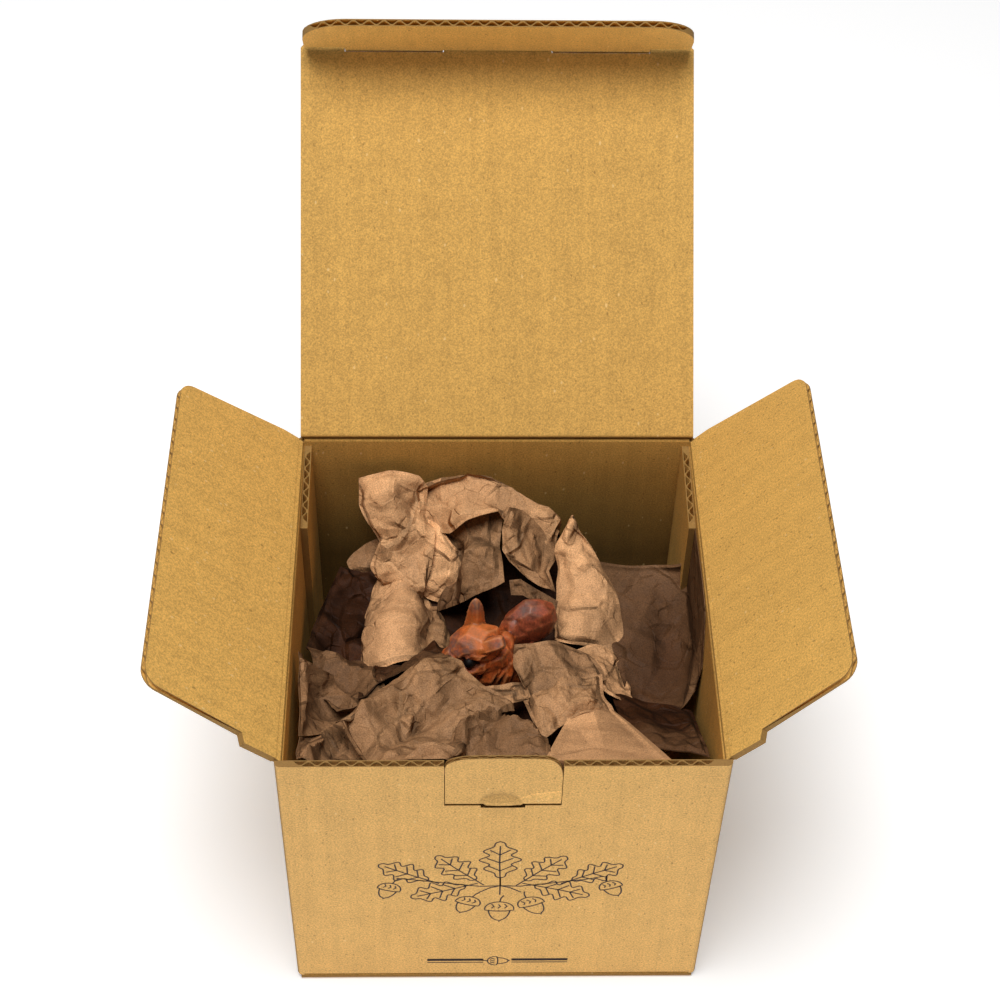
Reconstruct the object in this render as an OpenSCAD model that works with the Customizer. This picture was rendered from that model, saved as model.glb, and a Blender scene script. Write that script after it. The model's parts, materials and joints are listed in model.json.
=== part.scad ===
// Gift carton of corrugated board, open, with a lidded round box in crumpled wrapping paper.
// The box's lid has a hand-carved squirrel as its knob, which looks out of the paper.
// Origin at the centre of the carton's underside, X to the right, Y to the back, Z up.

/* [Carton] */
// Width of the carton over its side walls
carton_w = 172; // [150:1:200]
// Depth of the carton over its front and back walls
carton_d = 172; // [150:1:200]
// Height of the closed carton over its lid
carton_h = 164; // [156:1:190]
// Thickness of the corrugated board
board_t = 3.0; // [2.4:0.1:3.4]
// Thickness of one paper liner of the board
liner_t = 0.4; // [0.3:0.05:0.5]
// Distance from one flute of the board to the next
flute_pitch = 6.35; // [5.5:0.05:8]
// Radius of the folded upright corners
corner_r = 2.5; // [1:0.1:3]
// Length of a crushed crease beside a fold
crease_l = 2.6; // [2:0.1:4]
// Thickness to which the dust flaps' creases are crushed
crush_t = 2.0; // [1.4:0.1:2.2]
// Clearance between pieces that move past one another
gap = 0.3; // [0.2:0.05:0.4]

/* [Lid and flaps] */
// Angle that the lid stands open, from closed
lid_open = 137.5; // [100:0.5:170]
// Amount by which the lid is narrower than the carton
lid_inset = 3.2; // [2.6:0.1:4]
// Length of the tuck flap at the lid's free edge
tuck_l = 34; // [26:1:40]
// Fold of the tuck flap against the lid, lid open
tuck_fold = 85; // [80:1:95]
// Radius of the tuck flap's free corners
tuck_r = 19; // [8:1:24]
// Width of the cuts that free the tuck flap's ends
slit_l = 17; // [12:1:22]
// Length of the dust flaps
dust_l = 63; // [45:1:68]
// Angle that the left dust flap stands open, from closed
left_open = 138; // [90:1:170]
// Angle that the right dust flap stands open, from closed
right_open = 132; // [90:1:170]
// Radius of the dust flaps' free corners
dust_r = 7; // [3:1:12]
// Width of the glue flaps inside the back corners
glue_w = 43; // [25:1:60]
// Slope of the glue flaps' ends
glue_slope = 5; // [2:1:12]

/* [Lock tab] */
// Width of the lock tab in the front wall
tab_w = 44.4; // [34:0.2:60]
// Height of the lock tab from its crease
tab_h = 30.4; // [24:0.2:36]
// Height that the tab stands above the front wall
tab_over = 6; // [3:0.5:8]
// Radius of the tab's top corners
tab_r = 6.5; // [3:0.5:12]
// Width of the thumb lip in the tab's crease
thumb_w = 16.5; // [12:0.5:20]
// Height of the thumb lip
thumb_h = 4.4; // [3:0.2:6]
// Amount that the thumb lip stands out
thumb_out = 1.2; // [0.5:0.1:1.6]

/* [Round box] */
// Diameter of the round box's wall
box_dia = 148; // [120:1:150]
// Height of the round box with its lid
box_h = 62; // [50:1:64]
// Thickness of the box's sheet metal
sheet_t = 1.0; // [0.8:0.1:1.4]
// Height at which the paper pad carries the box
box_z = 36; // [30:1:40]
// Depth of the box lid's rim
rim_h = 8; // [5:0.5:12]
// Clearance between the lid's rim and the wall
rim_gap = 0.4; // [0.3:0.05:0.8]
// Radius of the bead rolled round the wall's foot
bead_r = 1.4; // [0.8:0.1:2]
// Height of the bead above the foot
bead_up = 4; // [3:0.5:8]
// Diameter of the screw that holds the squirrel
screw_d = 3; // [2.5:0.1:4]
// Length of the screw in the wood
screw_l = 14; // [8:1:16]

/* [Squirrel] */
// Height of the squirrel over its ear
squirrel_h = 51; // [44:0.5:56]
// Width of the squirrel from its nose to its tail
squirrel_w = 48; // [42:0.5:54]
// Diameter of the bead eyes
eye_d = 4.6; // [3.5:0.1:6]

/* [Wrapping paper] */
// Thickness of the crumpled layers
wrap_t = 0.8; // [0.6:0.1:1.4]
// Depth of the small crumples
wrap_crumple = 1.6; // [0:0.1:3]
// Distance that the paper keeps from the walls
wrap_clear = 2.5; // [1.5:0.1:6]

/* [Hidden] */

kraft = [0.80, 0.63, 0.34];
kraft_inside = [0.74, 0.56, 0.30];
tin = [0.45, 0.47, 0.44];
steel = [0.72, 0.73, 0.75];
stained_wood = [0.55, 0.27, 0.12];
black_bead = [0.05, 0.04, 0.04];
paper = [0.58, 0.43, 0.31];

ht = board_t / 2;
half_w = carton_w / 2;
half_d = carton_d / 2;
in_w = half_w - board_t;
in_d = half_d - board_t;
drop = board_t + gap;

// heights of the folds, each on the middle of its board
lid_z = carton_h - ht;
flap_z = lid_z - drop;
front_top = lid_z - ht - gap;
side_top = flap_z - ht - gap;
floor_z = 2 * drop;

// depths of the lid's folds
lid_y = half_d - ht;
fold_y = -(in_d - gap - ht);
lid_l = lid_y - fold_y;
lid_w = carton_w - lid_inset;

// the tuck flap leans in as the lid closes, so that it enters behind the front wall
tuck_ratio = 0.1;
tuck_lean = tuck_fold + lid_open * tuck_ratio - 90;
tuck_half = in_w - gap;
slit_x = tuck_half - slit_l;
slit_drop = lid_z - side_top + gap;
lock_half = tab_w / 2 + 1;
tongue = ht - gap;
tuck_clear = fold_y + (lid_z - flap_z + ht) * tan(tuck_lean) + ht / cos(tuck_lean) + 1.5 * gap;

tab_z = front_top + tab_over - tab_h;
tab_half = tab_w / 2;

function arc(cx, cy, r, a0, a1, n = 8) =
  [for (i = [0:n]) [cx + r * cos(a0 + (a1 - a0) * i / n), cy + r * sin(a0 + (a1 - a0) * i / n)]];

// Section of the board, flutes along Z: two liners with the waved paper between them
module board_section(w, flute_w) {
  n = floor(flute_w / flute_pitch);
  x0 = -n * flute_pitch / 2;
  amp = ht - 1.5 * liner_t;
  y_in = ht - liner_t;
  function wave(f) = amp * cos(360 * f) + 0.62 * liner_t;
  cell = [[0.11, y_in], [0.89, y_in], for (f = [0.76, 0.62, 0.5, 0.38, 0.24]) [f, wave(f)]];
  difference() {
    square([w, board_t], center = true);
    for (i = [0:n - 1])
      polygon([for (c = cell) [x0 + (i + c[0]) * flute_pitch, c[1]]]);
    for (i = [0:n - 2])
      polygon([for (c = cell) [x0 + (i + 0.5 + c[0]) * flute_pitch, -c[1]]]);
  }
}

// A piece of board in the XZ plane, flutes along Z, from z = 0
module board(w, l) {
  linear_extrude(l) board_section(w, w - 2);
}

// The crushed board beside a fold: round on the fold at z = 0, flat at z = l
module crease(w, l, t = board_t) {
  rotate([0, 90, 0]) cylinder(d = t, h = w, center = true, $fn = 48);
  translate([-w / 2, -t / 2, 0]) cube([w, t, l]);
}

// A flap that hangs on a fold along X at the origin and reaches to z = l
module flap(w, l, t = board_t) {
  crease(w, crease_l, t);
  translate([0, 0, crease_l - 0.4]) board(w, l - crease_l + 0.4);
}

// The outline of a flap, points in X and Z, through the board's thickness
module outline(points) {
  rotate([90, 0, 0]) linear_extrude(4 * board_t, center = true) polygon(points);
}

// An upright wall of width w from z0 to z1, folded at the ends that are named
module wall(w, z0, z1, fold_low, fold_high) {
  low = fold_low ? z0 + ht + crease_l : z0;
  high = fold_high ? z1 - ht - crease_l : z1;
  translate([0, 0, low - (fold_low ? 0.4 : 0)])
    board(w, high - low + (fold_low ? 0.4 : 0) + (fold_high ? 0.4 : 0));
  if (fold_low) translate([0, 0, z0 + ht]) crease(w, crease_l);
  if (fold_high) translate([0, 0, z1 - ht]) mirror([0, 0, 1]) crease(w, crease_l);
}

// The folded upright corners of the front and back walls, their outer side towards -Y
module corner_posts(z0, z1) {
  for (s = [-1, 1]) translate([s * (half_w - ht), 0, z0]) linear_extrude(z1 - z0)
    intersection() {
      square(board_t, center = true);
      union() {
        translate([s * (ht - corner_r), corner_r - ht]) circle(r = corner_r, $fn = 48);
        translate([s * (ht - corner_r / 2 - board_t), 0]) square([board_t, 2 * board_t], center = true);
        translate([0, ht + corner_r]) square([board_t, 4 * ht], center = true);
      }
    }
}

module front_panel() {
  color(kraft) translate([0, -half_d + ht, 0]) difference() {
    union() {
      wall(2 * in_w, drop, front_top, true, false);
      corner_posts(drop, front_top);
    }
    // the notch that the lock tab is cut from, with room for its thumb lip
    translate([-tab_half - gap, -board_t, tab_z - ht - gap])
      cube([tab_w + 2 * gap, 2 * board_t, tab_h + 10]);
    translate([-thumb_w / 2 - gap, -board_t, tab_z - ht - thumb_out - 2 * gap])
      cube([thumb_w + 2 * gap, 2 * board_t, 10]);
  }
}

module back_panel() {
  color(kraft_inside) translate([0, half_d - ht, 0]) rotate([0, 0, 180]) {
    wall(2 * in_w, 0, lid_z - ht - gap, false, true);
    corner_posts(0, flap_z);
  }
}

module side_panel() {
  translate([half_w - ht, 0, 0]) rotate([0, 0, 90]) wall(2 * in_d, floor_z, side_top, true, true);
}

module right_side_panel() { color(kraft_inside) side_panel(); }
module left_side_panel() { color(kraft_inside) mirror([1, 0, 0]) side_panel(); }

// Glued inside a back corner, along the side wall
module glue_flap() {
  z0 = floor_z + gap;
  z1 = side_top - 2 * gap;
  translate([in_w - ht, in_d - glue_w / 2, 0]) rotate([0, 0, 90]) intersection() {
    translate([0, 0, z0]) board(glue_w, z1 - z0);
    outline([[glue_w, z0 - 1], [glue_w, z1 + 1], [glue_w / 2, z1], [-glue_w / 2, z1 - glue_slope],
             [-glue_w, z1 - glue_slope], [-glue_w, z0 + glue_slope], [-glue_w / 2, z0 + glue_slope],
             [glue_w / 2, z0]]);
  }
}

module right_glue_flap() { color(kraft) glue_flap(); }
module left_glue_flap() { color(kraft) mirror([1, 0, 0]) glue_flap(); }

// Lid: a straight board, cut at its free edge for the lock slit and the two slit ends
module lid_board() {
  e = lid_l + tongue;
  f = lid_l - ht - gap - 0.1;
  h = lid_w / 2;
  intersection() {
    flap(lid_w, e);
    outline([[-h, -2 * ht], [h, -2 * ht], [h, e - 1.5], [h - 1.5, e], [slit_x, e], [slit_x, f],
             [lock_half, f], [lock_half, e], [-lock_half, e], [-lock_half, f], [-slit_x, f],
             [-slit_x, e], [1.5 - h, e], [-h, e - 1.5]]);
  }
}

// Tuck flap: hangs on the lid's fold, with its ends freed by the slits
module tuck_board(half, slit, lock, l) {
  bead = half - slit - gap;
  intersection() {
    flap(2 * half, l);
    outline(concat([[-bead, -2 * ht], [-lock - gap, -2 * ht], [-lock - gap, ht + 2 * gap],
             [lock + gap, ht + 2 * gap], [lock + gap, -2 * ht], [bead, -2 * ht], [bead, slit_drop],
             [half, slit_drop]],
             arc(half - tuck_r, l - tuck_r, tuck_r, 0, 90),
             arc(-half + tuck_r, l - tuck_r, tuck_r, 90, 180),
             [[-half, slit_drop], [-bead, slit_drop]]));
  }
}

// Dust flap: a shoulder at the fold goes into the tuck flap's slit, the rest stays behind it
module dust_board() {
  clear = tuck_clear;
  back = in_d - gap;
  shoulder = slit_l + half_w - ht - in_w;
  intersection() {
    flap(2 * back, dust_l, crush_t);
    outline(concat([[-back, -2 * ht], [back, -2 * ht], [back, 10]],
             arc(back - 6 - dust_r, dust_l - dust_r, dust_r, 5, 90, 6),
             arc(clear + 2 + dust_r, dust_l - dust_r, dust_r, 90, 175, 6),
             [[clear, shoulder], [-back, shoulder - 1.5]]));
  }
}

module lid_at() translate([0, lid_y, lid_z]) rotate([90 - lid_open, 0, 0]) children();
module tuck_at() lid_at() translate([0, 0, lid_l]) rotate([tuck_fold, 0, 0]) children();
module dust_at(open) translate([half_w - ht, 0, flap_z]) rotate([0, open - 90, 0])
  rotate([0, 0, 90]) children();

module lid_panel() { color(kraft) lid_at() lid_board(); }
module tuck_flap() { color(kraft) tuck_at() tuck_board(tuck_half, slit_l, lock_half, tuck_l); }
module right_dust_flap() { color(kraft) dust_at(right_open) dust_board(); }
module left_dust_flap() { color(kraft) mirror([1, 0, 0]) dust_at(left_open) dust_board(); }

// Bottom: the same closure upside down, hung on the front wall and tucked in behind the back wall
module bottom_panel() {
  e = lid_l + tongue;
  f = lid_l - ht - gap - 0.1;
  h = lid_w / 2;
  x = in_w - board_t - gap - slit_l;
  color(kraft) translate([0, -lid_y, ht]) rotate([-90, 0, 0]) intersection() {
    flap(lid_w, e);
    outline([[-h, -2 * ht], [h, -2 * ht], [h, e - 1.5], [h - 1.5, e], [x, e], [x, f], [-x, f],
             [-x, e], [1.5 - h, e], [-h, e - 1.5]]);
  }
}

module bottom_tuck_flap() {
  half = in_w - board_t - gap;
  color(kraft) translate([0, -fold_y, ht]) intersection() {
    flap(2 * half, tuck_l);
    outline(concat([[gap - half + slit_l, -2 * ht], [half - slit_l - gap, -2 * ht],
             [half - slit_l - gap, slit_drop], [half, slit_drop]],
             arc(half - tuck_r, tuck_l - tuck_r, tuck_r, 0, 90),
             arc(-half + tuck_r, tuck_l - tuck_r, tuck_r, 90, 180),
             [[-half, slit_drop], [gap - half + slit_l, slit_drop]]));
  }
}

module bottom_dust() translate([half_w - ht, 0, drop + ht]) rotate([0, -90, 0])
  rotate([0, 0, 90]) mirror([1, 0, 0]) dust_board();
module bottom_right_dust_flap() { color(kraft) bottom_dust(); }
module bottom_left_dust_flap() { color(kraft) mirror([1, 0, 0]) bottom_dust(); }

// Lock tab: cut from the front wall, folds on its own crease; the cut in the crease frees a thumb lip
module lock_tab() {
  h = tab_half;
  t = thumb_w / 2;
  color(kraft) translate([0, -half_d + ht, tab_z]) {
    intersection() {
      flap(tab_w, tab_h);
      outline(concat([[-h, -2 * ht], [-t, -2 * ht], [-t, 0.2], [t, 0.2], [t, -2 * ht], [h, -2 * ht]],
               arc(h - tab_r, tab_h - tab_r, tab_r, 0, 90, 6),
               arc(-h + tab_r, tab_h - tab_r, tab_r, 90, 180, 6)));
    }
    rotate([90, 0, 90]) linear_extrude(thumb_w - 2 * gap, center = true)
      polygon([[-ht + 0.5, thumb_h], [-ht, thumb_h], [-ht - thumb_out, 0.9], [-ht - thumb_out, 0.2],
               [-ht + 0.5, 0.2]]);
  }
}

// Round box: a thin wall with a bead rolled round its foot, a floor let in, and a flat rimmed lid
box_r = box_dia / 2;
box_top = box_z + box_h;
wall_top = box_top - sheet_t - gap;
lid_r = box_r + rim_gap + sheet_t;

module box_wall() {
  color(tin) translate([0, 0, box_z]) rotate_extrude($fn = 96) difference() {
    union() {
      translate([box_r - sheet_t, 0]) square([sheet_t, wall_top - box_z]);
      translate([box_r - sheet_t / 2, bead_up]) circle(r = bead_r, $fn = 24);
    }
    translate([0, bead_up - bead_r]) square([box_r - sheet_t, 2 * bead_r]);
  }
}

module box_base() {
  color(tin) translate([0, 0, box_z]) rotate_extrude($fn = 96)
    polygon([[0, 1.5], [box_r - sheet_t - 1.2, 1.5], [box_r - sheet_t - 1.2, 0.2], [box_r - sheet_t, 0.2],
             [box_r - sheet_t, 1.5 + sheet_t], [0, 1.5 + sheet_t]]);
}

module box_lid() {
  color(tin) translate([0, 0, box_top]) difference() {
    rotate_extrude($fn = 96)
      polygon([[0, 0], [lid_r - 0.6, 0], [lid_r, -0.6], [lid_r, -rim_h], [lid_r - sheet_t, -rim_h],
               [lid_r - sheet_t, -sheet_t], [0, -sheet_t]]);
    translate([0, 0, -2 * sheet_t]) cylinder(d = screw_d + 2 * gap, h = 4 * sheet_t, $fn = 32);
  }
}

washer_t = 1;
washer_d = 12;
module knob_washer() {
  color(steel) translate([0, 0, box_top - sheet_t - washer_t]) difference() {
    cylinder(d = washer_d, h = washer_t, $fn = 48);
    translate([0, 0, -1]) cylinder(d = screw_d + 2 * gap, h = washer_t + 2, $fn = 32);
  }
}

// Pan-head screw from below, through the washer and the lid into the wood
module knob_screw() {
  head = 2.2;
  color(steel) translate([0, 0, box_top - sheet_t - washer_t]) {
    cylinder(d = screw_d, h = sheet_t + washer_t + screw_l, $fn = 32);
    rotate([180, 0, 0]) rotate_extrude($fn = 48)
      polygon([[0, 0], [screw_d, 0], [screw_d, head * 0.5], [screw_d * 0.7, head], [0, head]]);
  }
}

// Squirrel, carved in flat cuts: it sits on the lid with its nose to the left and its tail to the right
kx = squirrel_w / 48;
kz = squirrel_h / 51;
left_eye_at = [-12.4 * kx, -11.2 * kx, box_top + 28.6 * kz];
right_eye_at = [-13.6 * kx, 5.0 * kx, box_top + 29.6 * kz];

// One lump of the carving, with facets about 4 mm wide
module lump(at, size, turn = [0, 0, 0], n = 14) {
  translate(at) rotate(turn) scale(size) sphere(r = 1, $fn = n);
}

module carving() {
  // chest and back
  hull() {
    lump([-1, -3, 24], [7, 7, 6]);
    lump([0, -3, 12], [8.5, 8.5, 8]);
    lump([3, 0, 5], [11, 9, 6]);
  }
  // haunches and hind feet
  lump([6, 2, 7.5], [10, 10.5, 9.5], [0, 12, 0]);
  for (s = [-1, 1]) hull() {
    lump([4, s * 7, 2.5], [5, 3.2, 3.4], n = 10);
    lump([-9, s * 7 - 1, 1.6], [4, 2.6, 2.4], n = 10);
  }
  // head with its muzzle
  hull() {
    lump([-8.5, -3, 30.5], [12, 8.8, 9.2], [0, -8, 6]);
    lump([-19.5, -6.5, 25], [4.2, 4.2, 3.8], n = 10);
  }
  // the far ear stands, the near ear lies back
  hull() {
    lump([-10, 3, 38], [5, 2.6, 4], [0, 6, 0], 10);
    lump([-10, 5, 47.2], [2.6, 1.4, 3.7], [0, 4, 0], 8);
  }
  hull() {
    lump([-5, -8.4, 34.5], [4.2, 2.6, 3.4], [0, 30, 0], 8);
    lump([1.6, -6.4, 39], [2.2, 1.5, 2.2], n = 8);
  }
  // forelegs, drawn up to the chest
  for (s = [-1, 1]) hull() {
    lump([-4, -3 + s * 6.5, 17], [3.4, 2.8, 5], [0, 20, 0], 10);
    lump([-13, -4 + s * 3, 15.5], [2.8, 2.2, 2.2], n = 8);
  }
  // tail, from the rump up and back
  hull() {
    lump([13.5, 14, 24.5], [12.2, 8, 11.6], [0, -24, 10], 16);
    lump([8.5, 9, 8], [5, 5, 6], n = 10);
  }
}

module squirrel() {
  color(stained_wood) difference() {
    translate([0, 0, box_top]) intersection() {
      scale([kx, kx, kz]) carving();
      translate([-40, -40, 0]) cube([80, 80, 80]);
    }
    translate(left_eye_at) sphere(d = eye_d + 0.14, $fn = 24);
    translate(right_eye_at) sphere(d = eye_d + 0.14, $fn = 24);
    translate([0, 0, box_top - 1]) cylinder(d = screw_d + 0.16, h = screw_l + 1.4, $fn = 32);
  }
}

module left_eye() { color(black_bead) translate(left_eye_at) sphere(d = eye_d, $fn = 32); }
module right_eye() { color(black_bead) translate(right_eye_at) sphere(d = eye_d, $fn = 32); }

// Crumpled wrapping paper, laid round the squirrel on the box's lid.
// Each lap hangs on a net of fold points [x, y, height over the lid], chosen for a carton of
// 166 by 166 inside and a box lid of 150.8. Low points keep their place on the box's lid and high
// points their place by the walls. Between the folds a lap is crumpled in flat facets.
fill_h = side_top - box_top - gap;
function settle(p) = let (
    f = min(1, max(0, p[2] / 30)),
    sx = (lid_r / 75.4) * (1 - f) + (in_w - wrap_clear) / 80.5 * f,
    sy = (lid_r / 75.4) * (1 - f) + (in_d - wrap_clear) / 80.5 * f)
  [p[0] * sx, p[1] * sy, box_top + gap + wrap_t / 2 + (p[2] - 0.6) * fill_h / 59.1];

function mix(a, b, f) = a * (1 - f) + b * f;
// a point of the net at row r and column c, counted in cells
function on_net(net, r, c) = let (
    i = min(floor(r), len(net) - 2), j = min(floor(c), len(net[0]) - 2),
    f = r - i, g = c - j)
  mix(mix(net[i][j], net[i][j + 1], g), mix(net[i + 1][j], net[i + 1][j + 1], g), f);

module crumpled(net, seed, cuts = 3) {
  rows = (len(net) - 1) * cuts;
  cols = (len(net[0]) - 1) * cuts;
  n = cols + 1;
  jitter = rands(-0.5, 0.5, (rows + 1) * n, seed);
  flat = [for (i = [0:rows]) [for (j = [0:cols]) settle(on_net(net, i / cuts, j / cuts))]];
  function normal(i, j) = let (
      a = flat[min(i + 1, rows)][j] - flat[max(i - 1, 0)][j],
      b = flat[i][min(j + 1, cols)] - flat[i][max(j - 1, 0)],
      k = cross(b, a)) k / max(norm(k), 0.001);
  function lift(i, j) = (i == 0 || j == 0 || i == rows || j == cols) ? 0
    : wrap_crumple * jitter[i * n + j];
  upper = [for (i = [0:rows]) for (j = [0:cols]) flat[i][j] + normal(i, j) * (lift(i, j) + wrap_t / 2)];
  lower = [for (i = [0:rows]) for (j = [0:cols]) flat[i][j] + normal(i, j) * (lift(i, j) - wrap_t / 2)];
  m = (rows + 1) * n;
  rim = concat([for (j = [0:cols - 1]) j], [for (i = [0:rows - 1]) i * n + cols],
               [for (j = [cols:-1:1]) rows * n + j], [for (i = [rows:-1:1]) i * n]);
  faces = concat(
    [for (i = [0:rows - 1]) for (j = [0:cols - 1]) let (q = i * n + j)
      each (i + j) % 2 == 0 ? [[q, q + n, q + 1], [q + 1, q + n, q + n + 1]]
                            : [[q, q + n, q + n + 1], [q, q + n + 1, q + 1]]],
    [for (i = [0:rows - 1]) for (j = [0:cols - 1]) let (q = m + i * n + j)
      each (i + j) % 2 == 0 ? [[q, q + 1, q + n], [q + 1, q + n + 1, q + n]]
                            : [[q, q + n + 1, q + n], [q, q + 1, q + n + 1]]],
    [for (k = [0:len(rim) - 1]) let (a = rim[k], b = rim[(k + 1) % len(rim)])
      each [[a, b, m + a], [b, m + b, m + a]]]);
  polyhedron(concat(upper, lower), faces, convexity = 8);
}

module paper_back_left() {
  color(paper) crumpled([
    [[-60, 76, 46], [-46, 78, 48], [-37, 77, 46], [-33, 74, 42]],
    [[-59, 70, 35], [-46, 66, 42], [-39, 66, 39], [-34, 66, 31]],
    [[-50, 58, 26], [-42, 56, 31], [-37, 58, 31], [-34, 61, 28]],
    [[-54, 52, 16], [-45, 50, 21], [-39, 50, 21], [-35, 54, 20]],
    [[-54, 49, 0.4], [-46, 48, 0.4], [-40, 48, 0.4], [-36, 50, 0.4]]], 11);
}

module paper_back_fold() {
  color(paper) crumpled([
    [[-29, 61, 27], [-25, 59, 28], [-20, 54, 21]],
    [[-31, 54, 20], [-25, 50, 19], [-20, 47, 12]],
    [[-33, 44, 0.4], [-29, 41, 2], [-23, 40, 0.4]]], 13, 2);
}

module paper_hood() {
  color(paper) crumpled([
    [[-20, 70, 0.4], [-8, 72, 0.4], [4, 72, 0.4], [14, 70, 0.4], [24, 64, 0.4]],
    [[-28, 78, 45], [-13, 78, 49], [-1, 77, 48], [12, 71, 38], [25, 63, 28]],
    [[-26, 67, 38], [-13, 66, 43], [0, 65, 42], [11, 61, 34], [23, 54, 24]],
    [[-20, 57, 32], [-11, 54, 40], [-1, 55, 41], [7, 52, 34], [15, 46, 25]]], 23, 2);
}

// the dark side of the hood, behind the ear
module paper_hood_inner() {
  color(paper) crumpled([
    [[-17, 50, 28], [-8, 49, 31], [-1, 49, 32]],
    [[-19, 42, 16], [-9, 38, 22], [-1, 40, 24]],
    [[-19, 33, 8], [-10, 30, 12], [-1, 31, 14]],
    [[-18, 30, 0.4], [-10, 27, 0.4], [-2, 27, 0.4]]], 29, 2);
}

module paper_hood_tongue() {
  color(paper) crumpled([
    [[3, 46, 28], [9, 43, 23], [16, 39, 17], [22, 38, 13]],
    [[5, 40, 22], [11, 37, 19], [17, 34, 14], [23, 33, 9]],
    [[6, 36, 0.4], [12, 33, 0.4], [18, 30, 0.4], [24, 29, 0.4]]], 31, 2);
}

module paper_right_fold() {
  color(paper) crumpled([
    [[31, 57, 37], [34, 58, 39], [37, 57, 37]],
    [[30, 46, 25], [36, 46, 31], [44, 46, 26]],
    [[29, 35, 17], [37, 32, 24], [48, 34, 18]],
    [[29, 22, 10], [38, 20, 17], [50, 21, 11]],
    [[30, 11, 0.4], [39, 9, 0.4], [50, 9, 0.4]]], 37, 2);
}

module paper_right_sheet() {
  color(paper) crumpled([
    [[48, 46, 27], [57, 44, 27], [68, 42, 28], [78, 36, 34]],
    [[53, 34, 12], [61, 34, 18], [70, 30, 20], [79, 22, 30]],
    [[55, 20, 0.4], [63, 18, 10], [72, 12, 15], [79, 4, 26]],
    [[56, 0, 0.4], [63, -2, 8], [71, -6, 11], [79, -16, 22]]], 41);
}

module paper_right_corner() {
  color(paper) crumpled([
    [[46, -16, 0.4], [58, -17, 0.4], [70, -20, 0.4]],
    [[46, -20, 17], [60, -21, 12], [77, -27, 16]],
    [[48, -31, 22], [61, -37, 22], [78, -46, 28]],
    [[60, -46, 27], [69, -54, 34], [79, -62, 40]]], 43, 2);
}

module paper_right_low() {
  color(paper) crumpled([
    [[33, 4, 0.4], [42, 4, 0.4], [50, 2, 0.4]],
    [[34, -4, 12], [43, -4, 14], [51, -6, 10]],
    [[34, -11, 18], [42, -11, 19], [49, -12, 16]]], 47, 2);
}

module paper_front_right() {
  color(paper) crumpled([
    [[33, -25, 26], [36, -25, 27], [39, -27, 26]],
    [[25, -46, 33], [39, -45, 34], [54, -44, 29]],
    [[16, -72, 46], [45, -72, 46], [76, -72, 45]],
    [[26, -66, 0.4], [42, -60, 0.4], [56, -48, 0.4]]], 53);
}

module paper_front_fold() {
  color(paper) crumpled([
    [[14, -24, 0.4], [21, -21, 0.4], [29, -18, 0.4]],
    [[12, -29, 20], [20, -25, 22], [29, -21, 23]],
    [[14, -40, 26], [20, -36, 26], [26, -33, 26]],
    [[17, -51, 31], [19, -48, 31], [21, -45, 31]]], 59, 2);
}

module paper_front_strip() {
  color(paper) crumpled([
    [[3, -40, 25], [6, -39, 26], [9, -39, 26]],
    [[-5, -55, 34], [4, -53, 34], [12, -53, 33]],
    [[-14, -71, 44], [0, -72, 45], [12, -72, 45]],
    [[-8, -66, 0.4], [0, -67, 0.4], [8, -67, 0.4]]], 61);
}

module paper_front_left() {
  color(paper) crumpled([
    [[-54, -46, 0.4], [-60, -50, 43], [-47, -34, 40], [-30, -18, 38], [-20, -15, 37]],
    [[-53, -50, 0.4], [-58, -58, 41], [-41, -42, 36], [-26, -24, 35], [-16, -17, 35]],
    [[-46, -58, 0.4], [-50, -71, 45], [-36, -50, 37], [-22, -30, 33], [-11, -19, 32]],
    [[-34, -64, 0.4], [-36, -72, 45], [-24, -52, 35], [-11, -35, 31], [-3, -26, 31]],
    [[-22, -69, 0.4], [-22, -72, 45], [-10, -50, 35], [-2, -38, 32], [5, -32, 29]]], 71, 2);
}

module paper_under_chest() {
  color(paper) crumpled([
    [[-7, -15, 0.4], [2, -16, 0.4], [10, -16, 0.4]],
    [[-7, -17, 15], [2, -18, 16], [9, -18, 15]],
    [[-6, -27, 21], [3, -26, 20], [9, -25, 20]]], 73, 2);
}

module paper_left_wall() {
  color(paper) crumpled([
    [[-79, 6, 24], [-76, 6, 14], [-70, 4, 0.4], [-61, 2, 4]],
    [[-80, -14, 36], [-75, -16, 20], [-66, -14, 13], [-57, -13, 15]],
    [[-80, -34, 46], [-76, -32, 28], [-66, -30, 18], [-57, -27, 23]],
    [[-80, -54, 50], [-73, -49, 36], [-68, -45, 27], [-62, -38, 27]],
    [[-78, -71, 48], [-72, -72, 45], [-67, -70, 42], [-63, -60, 33]]], 83);
}

module paper_left_back() {
  color(paper) crumpled([
    [[-68, 58, 10], [-64, 58, 9], [-60, 56, 8]],
    [[-72, 42, 9], [-66, 42, 6], [-60, 41, 3]],
    [[-77, 27, 10], [-68, 28, 5], [-60, 29, 0.4]],
    [[-79, 12, 15], [-70, 11, 9], [-61, 9, 3]]], 89, 2);
}

module paper_left_fold() {
  color(paper) crumpled([
    [[-51, 44, 4], [-44, 43, 10], [-38, 39, 8]],
    [[-54, 34, 0.4], [-46, 31, 14], [-35, 30, 10]],
    [[-55, 16, 0.4], [-46, 11, 14], [-35, 12, 10]],
    [[-54, 1, 4], [-45, -2, 15], [-36, 0, 14]]], 97, 2);
}

module paper_left_strip() {
  color(paper) crumpled([
    [[-28, 36, 0.4], [-24, 34, 0.4]],
    [[-31, 30, 7], [-24, 28, 6]],
    [[-31, 19, 7], [-22, 16, 9]],
    [[-32, 3, 14], [-24, 3, 16]]], 101, 2);
}

module paper_left_band() {
  color(paper) crumpled([
    [[-51, -3, 0.4], [-43, -2, 0.4], [-33, -2, 0.4]],
    [[-52, -10, 9], [-43, -9, 10], [-32, -8, 9]],
    [[-52, -21, 18], [-42, -18, 21], [-30, -15, 22]]], 107, 2);
}

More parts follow.
